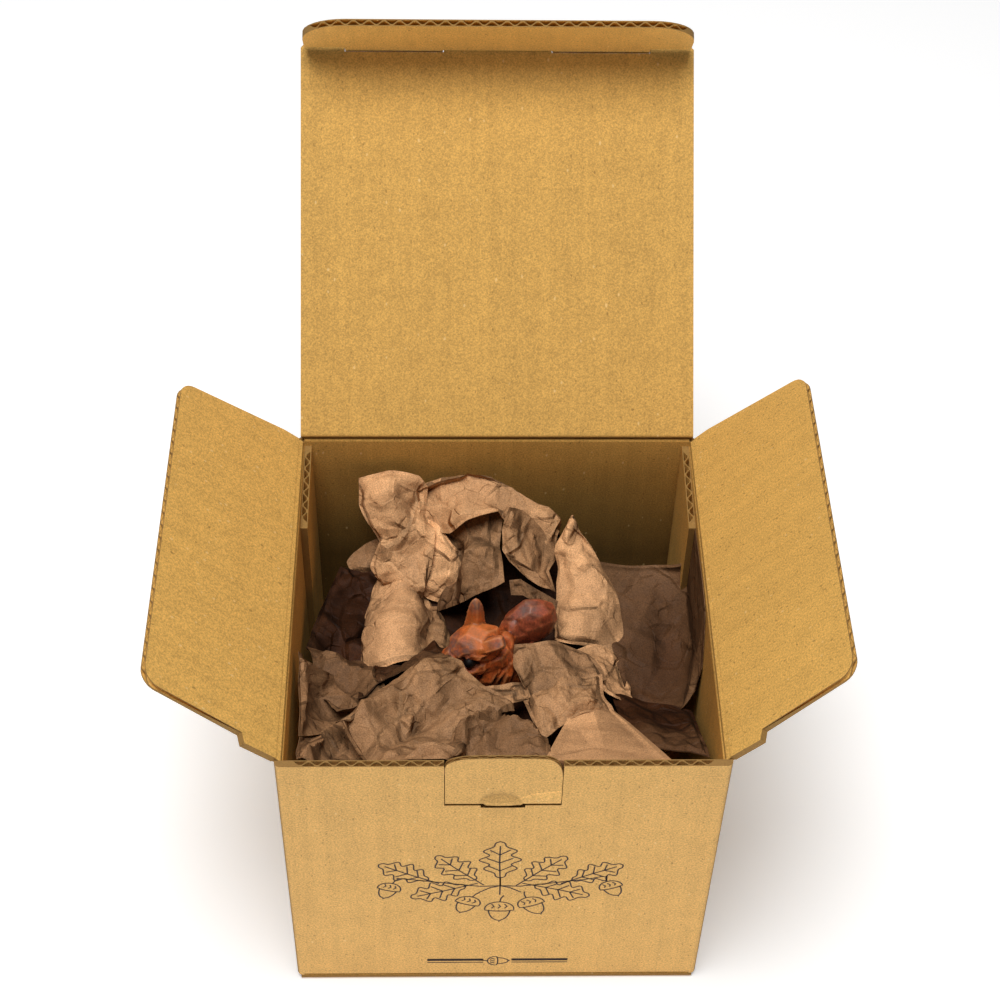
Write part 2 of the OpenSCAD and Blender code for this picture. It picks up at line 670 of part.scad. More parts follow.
module paper_by_squirrel() {
  color(paper) crumpled([
    [[20, -1, 0.4], [25, 3, 0.4], [29, 3, 0.4]],
    [[19, -1, 17], [24, 1, 19], [29, 1, 16]],
    [[16, -9, 20], [22, -7, 19], [30, -6, 17]],
    [[14, -16, 17], [21, -15, 17], [30, -13, 18]]], 103, 2);
}

// low paper in the hollow beside the tail
module paper_bed() {
  color(paper) crumpled([
    [[-19, 25, 1], [-10, 24, 3], [2, 24, 1]],
    [[-19, 18, 3], [-11, 18, 2], [0, 19, 3]],
    [[-19, 12, 1], [-15, 12, 2], [-6, 15, 1]]], 109, 2);
}

// The wad under the round box, pressed flat by it
module paper_pad() {
  n = 22;
  z0 = floor_z + 0.1;
  top = box_z + 1.2;
  levels = [[0.84, z0], [0.94, mix(z0, top, 0.25)], [0.97, mix(z0, top, 0.6)],
            [0.93, mix(z0, top, 0.85)], [0.88, top]];
  rough = rands(-0.03, 0.03, n * len(levels), 7);
  color(paper) polyhedron(
    concat([for (k = [0:len(levels) - 1]) for (i = [0:n - 1])
             let (r = (box_r - 2) * (levels[k][0] + rough[k * n + i]), a = 360 * (i + k / 2) / n)
             [r * cos(a), r * sin(a), levels[k][1]]]),
    concat([[for (i = [0:n - 1]) i]],
      [for (k = [0:len(levels) - 2]) for (i = [0:n - 1]) let (a = k * n + i, b = k * n + (i + 1) % n)
        each [[a, a + n, b], [b, a + n, b + n]]],
      [[for (i = [n - 1:-1:0]) (len(levels) - 1) * n + i]]), convexity = 4);
}

front_panel();
back_panel();
left_side_panel();
right_side_panel();
left_glue_flap();
right_glue_flap();
bottom_panel();
bottom_tuck_flap();
bottom_left_dust_flap();
bottom_right_dust_flap();
lid_panel();
tuck_flap();
left_dust_flap();
right_dust_flap();
lock_tab();
box_wall();
box_base();
box_lid();
knob_screw();
knob_washer();
squirrel();
left_eye();
right_eye();
paper_back_left();
paper_back_fold();
paper_hood();
paper_hood_inner();
paper_hood_tongue();
paper_right_fold();
paper_right_sheet();
paper_right_corner();
paper_right_low();
paper_front_right();
paper_front_fold();
paper_front_strip();
paper_front_left();
paper_under_chest();
paper_left_wall();
paper_left_back();
paper_left_fold();
paper_left_strip();
paper_left_band();
paper_by_squirrel();
paper_bed();
paper_pad();
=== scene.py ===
import json
import math

import bmesh
import bpy
import numpy as np
from bpy.props import FloatProperty, FloatVectorProperty, PointerProperty
from mathutils import Euler, Matrix, Vector
from mathutils.geometry import delaunay_2d_cdt


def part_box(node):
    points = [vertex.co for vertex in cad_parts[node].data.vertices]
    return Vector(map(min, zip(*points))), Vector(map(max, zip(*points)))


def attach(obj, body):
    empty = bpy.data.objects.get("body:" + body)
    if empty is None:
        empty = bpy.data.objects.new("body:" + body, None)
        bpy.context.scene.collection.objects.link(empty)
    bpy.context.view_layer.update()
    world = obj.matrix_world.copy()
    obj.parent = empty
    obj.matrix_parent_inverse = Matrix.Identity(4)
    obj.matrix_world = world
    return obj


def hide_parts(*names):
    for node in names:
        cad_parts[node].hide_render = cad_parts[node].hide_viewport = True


bl_info = {
    "name": "Gift Carton with Carved Squirrel",
    "version": (1, 0, 0),
    "blender": (4, 5, 0),
    "location": "View3D > Sidebar > Carton",
    "description": "Dresses a gift carton, its wrapping paper and a carved squirrel knob",
    "category": "Object",
}

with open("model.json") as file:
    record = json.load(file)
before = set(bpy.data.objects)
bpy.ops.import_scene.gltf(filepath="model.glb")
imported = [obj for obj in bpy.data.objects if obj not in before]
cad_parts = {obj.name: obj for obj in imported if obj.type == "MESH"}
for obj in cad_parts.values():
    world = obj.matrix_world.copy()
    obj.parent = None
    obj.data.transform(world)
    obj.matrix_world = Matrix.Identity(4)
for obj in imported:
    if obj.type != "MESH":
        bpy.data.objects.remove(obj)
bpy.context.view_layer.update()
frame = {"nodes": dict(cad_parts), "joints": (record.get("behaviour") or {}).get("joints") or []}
MM = 0.001

# Planes of the carton and the axes of its folds, taken from the frame
IN_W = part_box("right_side_panel")[0].x
IN_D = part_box("back_panel")[0].y
SIDE_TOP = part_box("right_side_panel")[1].z
BOX_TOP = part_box("box_lid")[1].z
CLEARANCE = 0.3 * MM
FOLDS = {j["name"]: Vector(j["pos_m"]) for j in frame["joints"] if "pos_m" in j}


def srgb(r, g, b):
    """Linear colour with alpha from 8-bit screen values."""
    def linear(c):
        c /= 255
        return c / 12.92 if c <= 0.04045 else ((c + 0.055) / 1.055) ** 2.4
    return (linear(r), linear(g), linear(b), 1.0)


def colour_prop(name, description, default):
    return FloatVectorProperty(name=name, description=description, subtype="COLOR", size=4, min=0, max=1,
                               default=default)


def length_prop(name, description, default, low, high):
    return FloatProperty(name=name, description=description, unit="LENGTH", default=default * MM,
                         min=low * MM, max=high * MM)


def strength_prop(name, description, default, high, **more):
    return FloatProperty(name=name, description=description, default=default, min=0, max=high, **more)


class CartonSettings(bpy.types.PropertyGroup):
    board: colour_prop("Board", "Colour of the kraft liner", srgb(216, 168, 88))
    board_front: colour_prop("Front", "Colour of the liner's outer side", srgb(216, 170, 100))
    # the inside colour is darker than the board, as painted shade inside the carton
    board_inside_shaded: colour_prop("Board Inside", "Colour of the walls and the floor", srgb(203, 156, 80))
    dark_fibre: colour_prop("Dark Fibres", "Colour of the dark flecks", srgb(120, 88, 46))
    light_fibre: colour_prop("Light Fibres", "Colour of the light flecks", srgb(240, 208, 146))
    flute_show: strength_prop("Flute Show", "How far the flutes show through the liner", 0.35, 1,
                              subtype="FACTOR")
    line_width: length_prop("Line Width", "Width of the printed lines", 0.62, 0.1, 2)
    ink: colour_prop("Ink", "Colour of the printed lines", srgb(66, 55, 52))


class PaperSettings(bpy.types.PropertyGroup):
    colour: colour_prop("Paper", "Colour of the wrapping paper", srgb(224, 171, 121))
    # the deep colour is the painted shade that the paper darkens to low in the nest
    deep: colour_prop("Deep", "Colour of the paper low in the nest", srgb(48, 24, 8))
    step: length_prop("Grid", "Distance between the points of a sheet", 0.9, 0.5, 4)
    thickness: length_prop("Thickness", "Thickness of the paper", 0.22, 0.05, 0.6)
    facet: length_prop("Facet", "Width of the larger crumples", 7.5, 3, 20)
    depth: length_prop("Depth", "Depth of the larger crumples", 8.5, 0, 12)


class SquirrelSettings(bpy.types.PropertyGroup):
    stain: colour_prop("Stain", "Colour of the stained wood", srgb(176, 80, 27))
    tail: colour_prop("Tail", "Colour of the tail", srgb(140, 65, 38))
    bead: colour_prop("Bead", "Colour of the eyes", (0.004, 0.003, 0.003, 1))


class BoxSettings(bpy.types.PropertyGroup):
    paint: colour_prop("Paint", "Colour of the round box", (0.17, 0.19, 0.16, 1))
    zinc: colour_prop("Zinc", "Colour of the screw and the washer", (0.66, 0.67, 0.68, 1))


class StageSettings(bpy.types.PropertyGroup):
    floor: colour_prop("Floor", "Colour of the floor", (0.96, 0.96, 0.96, 1))
    glow: strength_prop("Floor Glow", "How far the floor is lit from below", 0.3, 1, subtype="FACTOR")
    lamp: strength_prop("Lamp", "Power of the large soft lamp in watts", 42, 500, unit="POWER")
    fill: strength_prop("Fill", "Power of the low lamp in front in watts", 7, 200, unit="POWER")
    sky: strength_prop("Sky", "Strength of the light from all round", 0.05, 4)
    lens: FloatProperty(name="Lens", description="Focal length of the camera in millimetres",
                        default=70.77, min=20, max=200, unit="CAMERA")


# Node helpers: a value is a number, a colour or another node's output socket, and a node is made in the
# tree of the first socket that it is given

def plug(value, socket):
    if isinstance(value, bpy.types.NodeSocket):
        socket.id_data.links.new(value, socket)
    else:
        socket.default_value = value


def add(tree, kind, settings=None, **inputs):
    node = tree.nodes.new(kind)
    for name, value in (settings or {}).items():
        setattr(node, name, value)
    for name, value in inputs.items():
        plug(value, node.inputs[name.replace("_", " ")])
    return node


def calc(operation, a, b=None, clamp=False):
    node = add(a.id_data, "ShaderNodeMath", {"operation": operation, "use_clamp": clamp})
    plug(a, node.inputs[0])
    if b is not None:
        plug(b, node.inputs[1])
    return node.outputs["Value"]


def times(a, b, clamp=False):
    return calc("MULTIPLY", a, b, clamp)


def plus(a, b):
    return calc("ADD", a, b)


def vector_calc(operation, *values):
    node = add(values[0].id_data, "ShaderNodeVectorMath", {"operation": operation})
    for value, socket in zip(values, node.inputs):
        plug(value, socket)
    return node.outputs["Value" if operation == "DOT_PRODUCT" else "Vector"]


def mix_colour(factor, a, b, blend="MIX"):
    node = add(a.id_data, "ShaderNodeMix", {"data_type": "RGBA", "blend_type": blend})
    for value, index in ((factor, 0), (a, 6), (b, 7)):
        plug(value, node.inputs[index])
    return node.outputs[2]


def toned(colour, tone):
    """A colour made lighter or darker by a value."""
    grey = add(colour.id_data, "ShaderNodeCombineColor", Red=tone, Green=tone, Blue=tone)
    return mix_colour(1.0, colour, grey.outputs["Color"], "MULTIPLY")


def ramp(source, low, high, a=0.0, b=1.0):
    """Maps a value from low..high to a..b, held at the ends."""
    node = add(source.id_data, "ShaderNodeMapRange", {"clamp": True}, Value=source, From_Min=low,
               From_Max=high, To_Min=a, To_Max=b)
    return node.outputs["Result"]


def noise(vector, scale, detail=2.0, roughness=0.5, output="Fac"):
    node = add(vector.id_data, "ShaderNodeTexNoise", Vector=vector, Scale=scale, Detail=detail,
               Roughness=roughness)
    return node.outputs[output]


def bent(vector, where, scale, reach):
    """Coordinates pushed about by noise, so that cells in them lose their straight sides."""
    return vector_calc("MULTIPLY_ADD", noise(where, scale, 1, output="Color"), (reach,) * 3, vector)


def flecks(vector, scale, size, share):
    """Mask of scattered fibre flecks: cells of a Voronoi, a share of them with a dot of the given size."""
    cells = add(vector.id_data, "ShaderNodeTexVoronoi", Vector=vector, Scale=scale).outputs
    dot = ramp(cells["Distance"], size * 0.55, size, 1.0, 0.0)
    pick = add(vector.id_data, "ShaderNodeSeparateColor", Color=cells["Color"])
    return times(dot, calc("LESS_THAN", pick.outputs["Red"], share))


def new_group(name, **inputs):
    """A node group and its own inputs: a Vector, and one for each default given."""
    group = bpy.data.node_groups.new(name, "ShaderNodeTree")
    group.interface.new_socket("Vector", in_out="INPUT", socket_type="NodeSocketVector")
    for title, value in inputs.items():
        kind = "NodeSocketColor" if isinstance(value, tuple) else "NodeSocketFloat"
        made = group.interface.new_socket(title.replace("_", " "), in_out="INPUT", socket_type=kind)
        made.default_value = value
    return group, group.nodes.new("NodeGroupInput").outputs


def put_out(group, **values):
    """The group's outputs: its colour, its roughness and the height of its relief."""
    for title in values:
        kind = "NodeSocketColor" if title == "Color" else "NodeSocketFloat"
        group.interface.new_socket(title, in_out="OUTPUT", socket_type=kind)
    add(group, "NodeGroupOutput", **values)
    return group


def kraft_liner_group():
    """Kraft liner of corrugated board: fibres, flecks, mottle and flutes that show through."""
    group, own = new_group("Kraft Liner", Color=(0.6, 0.4, 0.15, 1), Dark_Fibre=(0.2, 0.1, 0.03, 1),
                           Light_Fibre=(0.9, 0.7, 0.4, 1), Flute_Show=0.3, Across=1.0, Wear=0.0)
    where = own["Vector"]
    grain = noise(where, 1350, 2, 0.75)
    mottle = noise(where, 110, 3, 0.6)
    streaks = noise(vector_calc("MULTIPLY", where, (1, 1, 0.02)), 300)
    shown = times(ramp(streaks, 0.35, 0.65, -0.1, 0.1), own["Flute Show"])
    tone = plus(times(ramp(grain, 0.3, 0.7, 0.7, 1.3), ramp(mottle, 0.3, 0.7, 0.94, 1.05)), shown)
    # real wear and painted shade and light lighten or darken the tone here, on the lock tab and on the
    # walls' inner sides
    colour = toned(own["Color"], times(tone, plus(own["Wear"], 1.0)))
    fibres = bent(vector_calc("MULTIPLY", where, (1, 1, 0.6)), where, 300, 0.0011)
    for scale, size, share, strength, fibre in (
            (560, 0.24, 0.16, 0.5, "Dark Fibre"), (190, 0.11, 0.12, 0.55, "Dark Fibre"),
            (360, 0.2, 0.08, 0.5, "Light Fibre")):
        colour = mix_colour(times(flecks(fibres, scale, size, share), strength), colour, own[fibre])
    # where the board is cut, its edge faces are darker than its face: part the bare paper's darker edge,
    # part painted shade in the open flutes
    cut = ramp(calc("ABSOLUTE", own["Across"]), 0.5, 0.85, 0.78, 0.0)
    colour = mix_colour(cut, colour, own["Dark Fibre"])
    return put_out(group, Color=colour, Roughness=ramp(grain, 0.3, 0.7, 0.72, 0.86),
                   Height=plus(grain, shown))


def wrapping_group():
    """Thin brown wrapping paper: soft fibres, cloudy look-through, fold lines lighter on the ridges, part
    rubbed and part painted light, with painted shade in the valleys, and painted light and shade on facets.
    """
    group, own = new_group("Wrapping Paper", Color=(0.4, 0.27, 0.17, 1), Deep_Color=(0.1, 0.045, 0.018, 1),
                           Deep=0.0, Fold=0.0, Slant=0.0, Wrinkle=1.0)
    where = own["Vector"]
    grain = noise(where, 1900, 2, 0.7)
    cloud = noise(where, 120)
    rough_parts = ramp(noise(where, 45, 1), 0.4, 0.62, 0.35, 1.0)
    # painted light and shade: lighter ridges (also rubbed), darker valleys, faces by their slant to the
    # light
    facing = plus(ramp(own["Fold"], -1.0, 1.0, -0.42, 0.42), ramp(own["Slant"], -1.0, 1.0, -0.5, 0.42))
    facing = plus(facing, 1.0)
    # crumples: Voronoi cells in two widths, bent by noise, each a flat facet tilted its own way, with
    # folds between them; each facet is tinted lighter or darker as painted light and shade
    bends = bent(where, where, 60, 0.005)
    parts = []
    for scale, share, tint in ((62, 1.1, 0.2), (170, 0.3, 0.07)):
        cells = add(group, "ShaderNodeTexVoronoi", Vector=bends, Scale=scale).outputs
        rims = add(group, "ShaderNodeTexVoronoi", {"feature": "DISTANCE_TO_EDGE"}, Vector=bends,
                   Scale=scale).outputs
        tilt = vector_calc("SUBTRACT", cells["Color"], (0.5, 0.5, 0.5))
        plane = vector_calc("DOT_PRODUCT", vector_calc("SUBTRACT", bends, cells["Position"]), tilt)
        parts.append(times(times(plane, ramp(rims["Distance"], 0.0, 0.08)), share * scale))
        split = add(group, "ShaderNodeSeparateColor", Color=cells["Color"])
        lit = times(ramp(split.outputs["Green"], 0.0, 1.0, -tint, tint), rough_parts)
        facing = plus(facing, times(lit, own["Wrinkle"]))
    tone = times(ramp(grain, 0.3, 0.7, 0.66, 1.36), ramp(cloud, 0.3, 0.7, 0.92, 1.08))
    # painted shade: towards the deep colour where the paper lies low in the nest
    shaded = mix_colour(times(own["Deep"], 1.0, clamp=True), own["Color"], own["Deep Color"])
    specks = times(flecks(where, 700, 0.24, 0.1), 0.35)
    colour = mix_colour(specks, toned(shaded, times(tone, facing)), (0.08, 0.05, 0.03, 1))
    relief = times(times(plus(*parts), rough_parts), own["Wrinkle"])
    return put_out(group, Color=colour, Roughness=ramp(cloud, 0.3, 0.7, 0.58, 0.74),
                   Height=plus(relief, times(grain, 0.03)))


def knife_wood_group():
    """Stained carved wood: blotchy stain, grey patches, painted shade in the hollows, bright edges that are
    part bare wood and part painted highlight, and painted light on the top of the head.
    """
    group, own = new_group("Stained Wood", Color=(0.4, 0.12, 0.03, 1), Tail_Color=(0.2, 0.05, 0.02, 1),
                           Edge=0.0, Hollow=0.0, Tail=0.0, Grey=0.0, Glow=0.0)
    where = own["Vector"]
    grain = noise(vector_calc("MULTIPLY", where, (1, 1, 0.25)), 1700, 3, 0.7)
    blotch = noise(where, 330, 4, 0.66)
    tone = times(ramp(grain, 0.3, 0.7, 0.7, 1.28), ramp(blotch, 0.35, 0.65, 0.45, 1.5))
    colour = toned(mix_colour(own["Tail"], own["Color"], own["Tail Color"]), tone)
    patches = ramp(noise(where, 420, 3, 0.6), 0.35, 0.6, 0.35, 1.0)
    edges = ramp(own["Tail"], 0.0, 1.0, 0.55, 0.22)
    # one over the other: painted light on the top of the head, grey patches, painted shade in the hollows,
    # and the bright edges, part bare wood and part painted highlight
    for mask, strength, coat in (
            ("Glow", 0.5, (0.62, 0.2, 0.045, 1)), ("Grey", patches, (0.155, 0.085, 0.07, 1)),
            ("Hollow", 0.9, (0.022, 0.007, 0.003, 1)), ("Edge", edges, (0.66, 0.25, 0.085, 1))):
        colour = mix_colour(times(own[mask], strength, clamp=True), colour, coat)
    return put_out(group, Color=colour, Roughness=ramp(blotch, 0.3, 0.7, 0.42, 0.62), Height=grain)


def painted_sheet_group():
    """Satin paint on thin sheet: faint orange peel and dust."""
    group, own = new_group("Painted Sheet", Color=(0.17, 0.19, 0.16, 1))
    peel = noise(own["Vector"], 900)
    dust = noise(own["Vector"], 130, 3, 0.6)
    dusty = mix_colour(ramp(dust, 0.45, 0.7, 0.0, 0.12), own["Color"], (0.5, 0.46, 0.38, 1))
    return put_out(group, Color=dusty, Roughness=ramp(dust, 0.3, 0.7, 0.38, 0.5), Height=peel)


GROUPS = {}


def finish(name, build, bump, rotation=(0, 0, 0), attributes=(), across=None, depth=None, gloss=None,
           **inputs):
    """A Principled material fed by a shared node group at the object's own coordinates, turned by rotation.

    The attributes named feed the group's inputs of those names, across is the way the board's faces look,
    depth is the painted shade and light on a wall's inner side, and gloss holds values for the shader's own
    sockets.
    """
    if build not in GROUPS:
        GROUPS[build] = build()
    material = bpy.data.materials.new(name)
    material.use_nodes = True
    tree = material.node_tree
    tree.nodes.clear()
    place = add(tree, "ShaderNodeTexCoord").outputs
    turned = add(tree, "ShaderNodeMapping", Vector=place["Object"], Rotation=rotation)
    node = add(tree, "ShaderNodeGroup", {"node_tree": GROUPS[build]}, Vector=turned.outputs["Vector"],
               **inputs)
    if across:
        plug(vector_calc("DOT_PRODUCT", place["Normal"], across), node.inputs["Across"])
    if depth:
        # painted shade and light on a wall's inner side, by its place along one axis
        inward, axis, start, end, a, b = depth
        split = add(tree, "ShaderNodeSeparateXYZ", Vector=place["Object"])
        inner = ramp(vector_calc("DOT_PRODUCT", place["Normal"], inward), 0.4, 0.8)
        plug(times(ramp(split.outputs[axis], start, end, a, b), inner), node.inputs["Wear"])
    for title in attributes:
        read = add(tree, "ShaderNodeAttribute", {"attribute_name": title.lower()})
        plug(read.outputs["Fac"], node.inputs[title])
    relief = add(tree, "ShaderNodeBump", Strength=bump[0], Distance=bump[1], Height=node.outputs["Height"])
    shader = add(tree, "ShaderNodeBsdfPrincipled", Base_Color=node.outputs["Color"],
                 Roughness=node.outputs["Roughness"], Normal=relief.outputs["Normal"], **(gloss or {}))
    add(tree, "ShaderNodeOutputMaterial", Surface=shader.outputs["BSDF"])
    return material


def set_material(obj, material):
    obj.data.materials.clear()
    obj.data.materials.append(material)


def mesh_piece(name, verts, faces, body, smooth=True, crisp=None):
    mesh = bpy.data.meshes.new(name)
    mesh.from_pydata([tuple(v) for v in verts], [], [tuple(f) for f in faces])
    mesh.validate()
    mesh.update()
    if smooth:
        mesh.polygons.foreach_set("use_smooth", [True] * len(mesh.polygons))
    if crisp:
        mesh.set_sharp_from_angle(angle=math.radians(crisp))
    obj = bpy.data.objects.new(name, mesh)
    bpy.context.scene.collection.objects.link(obj)
    if body:
        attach(obj, body)
    return obj


def write_values(mesh, domain="POINT", **values):
    """Store a number for each point or face of a mesh, for its material to read."""
    for title, value in values.items():
        attribute = mesh.attributes.new(title, "FLOAT", domain)
        attribute.data.foreach_set("value", np.asarray(value, np.float32))


def unit(vectors):
    return vectors / np.maximum(np.linalg.norm(vectors, axis=-1, keepdims=True), 1e-12)


def shell(top, under):
    """Closed thin shell between two grids of points (m, n, 3): (verts, faces)."""
    m, n = top.shape[:2]
    faces = []
    for i in range(m - 1):
        for j in range(n - 1):
            q = i * n + j
            faces.append((q, q + 1, q + n + 1, q + n))
            faces.append((m * n + q, m * n + q + n, m * n + q + n + 1, m * n + q + 1))
    loop = ([j for j in range(n - 1)] + [i * n + n - 1 for i in range(m - 1)]
            + [(m - 1) * n + j for j in range(n - 1, 0, -1)] + [i * n for i in range(m - 1, 0, -1)])
    for a, b in zip(loop, loop[1:] + loop[:1]):
        faces.append((b, a, m * n + a, m * n + b))
    return np.concatenate([top.reshape(-1, 3), under.reshape(-1, 3)]), faces


def as_one(pieces):
    """Several (verts, faces) as one."""
    verts, faces = [], []
    for points, polygons in pieces:
        faces += [tuple(i + len(verts) for i in f) for f in polygons]
        verts += [tuple(p) for p in points]
    return verts, faces


# Boards of the carton: each keeps its solid, with the liner's grain turned along its flutes
LID_LEAN = math.radians(47.5)
TUCK_LEAN = math.radians(-37.5)
LEFT_LEAN = math.radians(48)
RIGHT_LEAN = math.radians(-42)
LEVEL = math.radians(90)
BOARDS = dict.fromkeys(("front_panel", "back_panel", "left_side_panel", "right_side_panel",
                        "left_glue_flap", "right_glue_flap", "lock_tab", "bottom_tuck_flap"), (0, 0, 0))
BOARDS |= {"bottom_panel": (LEVEL, 0, 0), "bottom_left_dust_flap": (0, LEVEL, 0),
           "bottom_right_dust_flap": (0, LEVEL, 0), "lid_panel": (LID_LEAN, 0, 0),
           "tuck_flap": (TUCK_LEAN, 0, 0), "left_dust_flap": (0, LEFT_LEAN, 0),
           "right_dust_flap": (0, RIGHT_LEAN, 0)}

# the boards that show the carton's inside, coloured darker as painted shade
SHADED = ("back_panel", "left_side_panel", "right_side_panel", "bottom_panel", "bottom_left_dust_flap",
          "bottom_right_dust_flap", "bottom_tuck_flap")

# painted shade and light on the walls' inner sides, darker down the back wall and lighter towards the
# front on the side walls: the way they look, the axis, its start and end in metres, and the change of tone
# at both
INWARD = {"back_panel": ((0, -1, 0), "Z", 0.085, 0.148, -0.7, 0.0),
          "left_side_panel": ((1, 0, 0), "Y", -0.08, -0.01, 0.6, 0.0),
          "right_side_panel": ((-1, 0, 0), "Y", -0.08, -0.045, 0.5, 0.0)}

# from flute to flute, the two papers of the board, and the height of the lock tab, in millimetres
FLUTE = 6.35
LINER = 0.35
MEDIUM = 0.25
TAB_TALL = 30.9

# the tab's thumb lip: its middle, half width and height, and the height of the hollow over it; then where
# the buckled corner begins
LIP_AT = -0.9
LIP_HALF = 8.4
LIP_TALL = 4.6
HOLLOW_TALL = 11
CORNER_AT = 5.8


def pressed_tab():
    """The lock tab as it is after use: round shoulders, a pressed thumb lip and a buckled corner."""
    low, high = (np.array(tuple(v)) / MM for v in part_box("lock_tab"))
    half, foot = high[0], high[2] - TAB_TALL
    x = np.linspace(-half, half, 89)
    share = np.linspace(0, 1, 44)
    wide, tall = np.where(x < 0, 10, 7), np.where(x < 0, 5.5, 11)
    over = np.clip((np.abs(x) - half + wide) / wide, 0, 1)
    top = TAB_TALL - 1 - tall * (1 - np.sqrt(1 - over ** 2)) - 0.7 * (x / half) ** 2
    xx, z = np.meshgrid(x, share)
    z = z * top
    # the lip stands out under a hollow; the corner beside it is pushed out along a crease
    lip = np.sqrt(np.clip(1 - ((xx - LIP_AT) / LIP_HALF) ** 2, 0, 1))
    edge = LIP_TALL * lip
    above = np.maximum((HOLLOW_TALL - LIP_TALL) * lip, 0.01)
    hollow = np.clip((HOLLOW_TALL * lip - z) / above, 0, 1) ** 1.6
    out = np.where(z < edge, lip - 2 * lip * z / np.maximum(edge, 0.01), -lip * hollow)
    bend = np.interp(xx, (CORNER_AT, 10.9, 21.8), (3, 6.3, 8.4))
    aside = np.clip((xx - CORNER_AT) / 3, 0, 1)
    out += 0.9 * np.clip(1 - z / bend, 0, 1) * aside
    # light on the crease and the corner, part rubbed board and part painted highlight, painted shade in the
    # hollow, darker on the torn lip, and a painted highlight along the lip's lower edge
    wear = np.where(z < edge, -0.2, -0.36 * hollow * lip)
    wear += aside * np.where(z < bend, 0.1, 0) + 0.3 * aside * np.clip(1 - np.abs(z - bend) / 0.6, 0, 1)
    wear += 0.3 * lip * np.clip(1 - np.abs(z - 0.5) / 0.5, 0, 1)
    # beside the lip nothing stands out near the crease, so that the tab clears its notch when it folds
    out *= 1 - np.clip((np.abs(xx) - 6.9) / 0.6, 0, 1) * (1 - np.clip((z - 2.3) / 1.2, 0, 1)) * (out > 0)
    face = low[1] + 1.2 - out
    thick = 2.9 - 1.2 * (z / 30) ** 2 + out
    wave = 0.5 + 0.5 * np.sin(math.tau * xx / FLUTE)
    inside = face + LINER + wave * (thick - 2 * LINER - MEDIUM)
    layers = ((face, face + LINER), (face + thick - LINER, face + thick), (inside, inside + MEDIUM))
    verts, faces = as_one(shell(np.stack([xx, front, foot + z], 2), np.stack([xx, back, foot + z], 2))
                          for front, back in layers)
    tab = mesh_piece("lock_tab_pressed", np.array(verts) * MM, faces, "tab", crisp=25)
    write_values(tab.data, wear=np.concatenate([np.tile(wear.ravel(), 2), np.zeros(4 * wear.size)]))
    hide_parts("lock_tab")
    return tab


def crease(name, body, material, towards, aside, runs, reach, across):
    """Crushed board beside a fold's axis, which closes the slit that the round edges leave; millimetres."""
    fold = FOLDS[name.replace("crease", "fold")]
    towards, aside = Vector(towards), Vector(aside)
    along = towards.cross(aside)
    verts, faces = [], []
    for start, end in runs:
        first = len(verts)
        steps = round((end - start) / 3)
        for k in range(steps + 1):
            s = start + (end - start) * k / steps
            wave = 0.05 * math.sin(1.9 * k) + 0.03 * math.sin(4.3 * k)
            for r, w in ((reach[0], across[0]), (reach[0] + 0.02, across[1] + wave),
                         (reach[1], across[1] + wave), (reach[1], across[0])):
                verts.append(fold + (along * s + towards * r + aside * w) * MM)
        for k in range(steps):
            q = first + 4 * k
            faces += [(q + j, q + (j + 1) % 4, q + 4 + (j + 1) % 4, q + 4 + j) for j in range(4)]
        q = first + 4 * steps
        faces += [(first + 3, first + 2, first + 1, first), (q, q + 1, q + 2, q + 3)]
    set_material(mesh_piece(name, verts, faces, body, smooth=False), material)


def liner(own, name, colour, **more):
    """Kraft liner in a colour of its own."""
    settings = {"Flute_Show": 0, "Dark_Fibre": own.dark_fibre, **more}
    return finish(name, kraft_liner_group, (0.35, 0.0004), gloss={"Specular_IOR_Level": 0.25},
                  Color=colour, Light_Fibre=own.light_fibre, **settings)


def darker(colour, share):
    return [c * share for c in colour[:3]] + [1]


class CARTON_OT_boards(bpy.types.Operator):
    """Give every board of the carton its kraft liner"""
    bl_idname = "carton.boards"
    bl_label = "Boards"

    def execute(self, context):
        own = context.scene.carton
        # the front has its own liner colour; the inside boards and the lid are darkened as painted shade
        tones_and_shades = {"front_panel": own.board_front, "lock_tab": own.board_front,
                 "lid_panel": darker(own.board, 0.84), **dict.fromkeys(SHADED, own.board_inside_shaded)}
        for name, rotation in BOARDS.items():
            across = (0, math.cos(rotation[0]), -math.sin(rotation[0]))
            if rotation[1] or name.endswith(("side_panel", "glue_flap")):
                across = (math.cos(rotation[1]), 0, math.sin(rotation[1]))
            material = liner(own, "liner_" + name, tones_and_shades.get(name, own.board), rotation=rotation,
                             attributes=("Wear",) if name == "lock_tab" else (), across=across,
                             depth=INWARD.get(name), Flute_Show=own.flute_show)
            set_material(frame["nodes"][name], material)
            if name == "lock_tab":
                set_material(pressed_tab(), material)
                # the tab's own fold on both sides of the thumb lip
                crease("tab_crease", "tab", material, (0, 0, -1), (0, -1, 0), [(-22, -8.7), (8.7, 22)],
                       (0.3, 1.6), (-0.9, 0.85))
        # the folds of the dust flaps on the side walls, and the two cut lengths of the tuck flap's fold;
        # their crushed board is darkened as painted shade in the fold
        crushed_shade = liner(own, "liner_crease_shade", darker(own.board_inside_shaded, 0.6))
        half = IN_D / MM - 0.6
        for side, sign in (("left", 1), ("right", -1)):
            crease(side + "_dust_crease", "carton", crushed_shade, (0, 0, -1), (sign, 0, 0), [(-half, half)],
                   (1.03, 2.05), (0.28, 0.65))
        crease("tuck_crease", "lid", crushed_shade, (0, -math.sin(LID_LEAN), -math.cos(LID_LEAN)),
               (0, math.cos(LID_LEAN), -math.sin(LID_LEAN)), [(-65, -23.8), (23.8, 65)], (1.53, 2.05),
               (0.1, 0.8))
        return {"FINISHED"}


# Print on the front: oak twigs in thin lines over a plain rule, millimetres from the middle of the
# front's lower edge

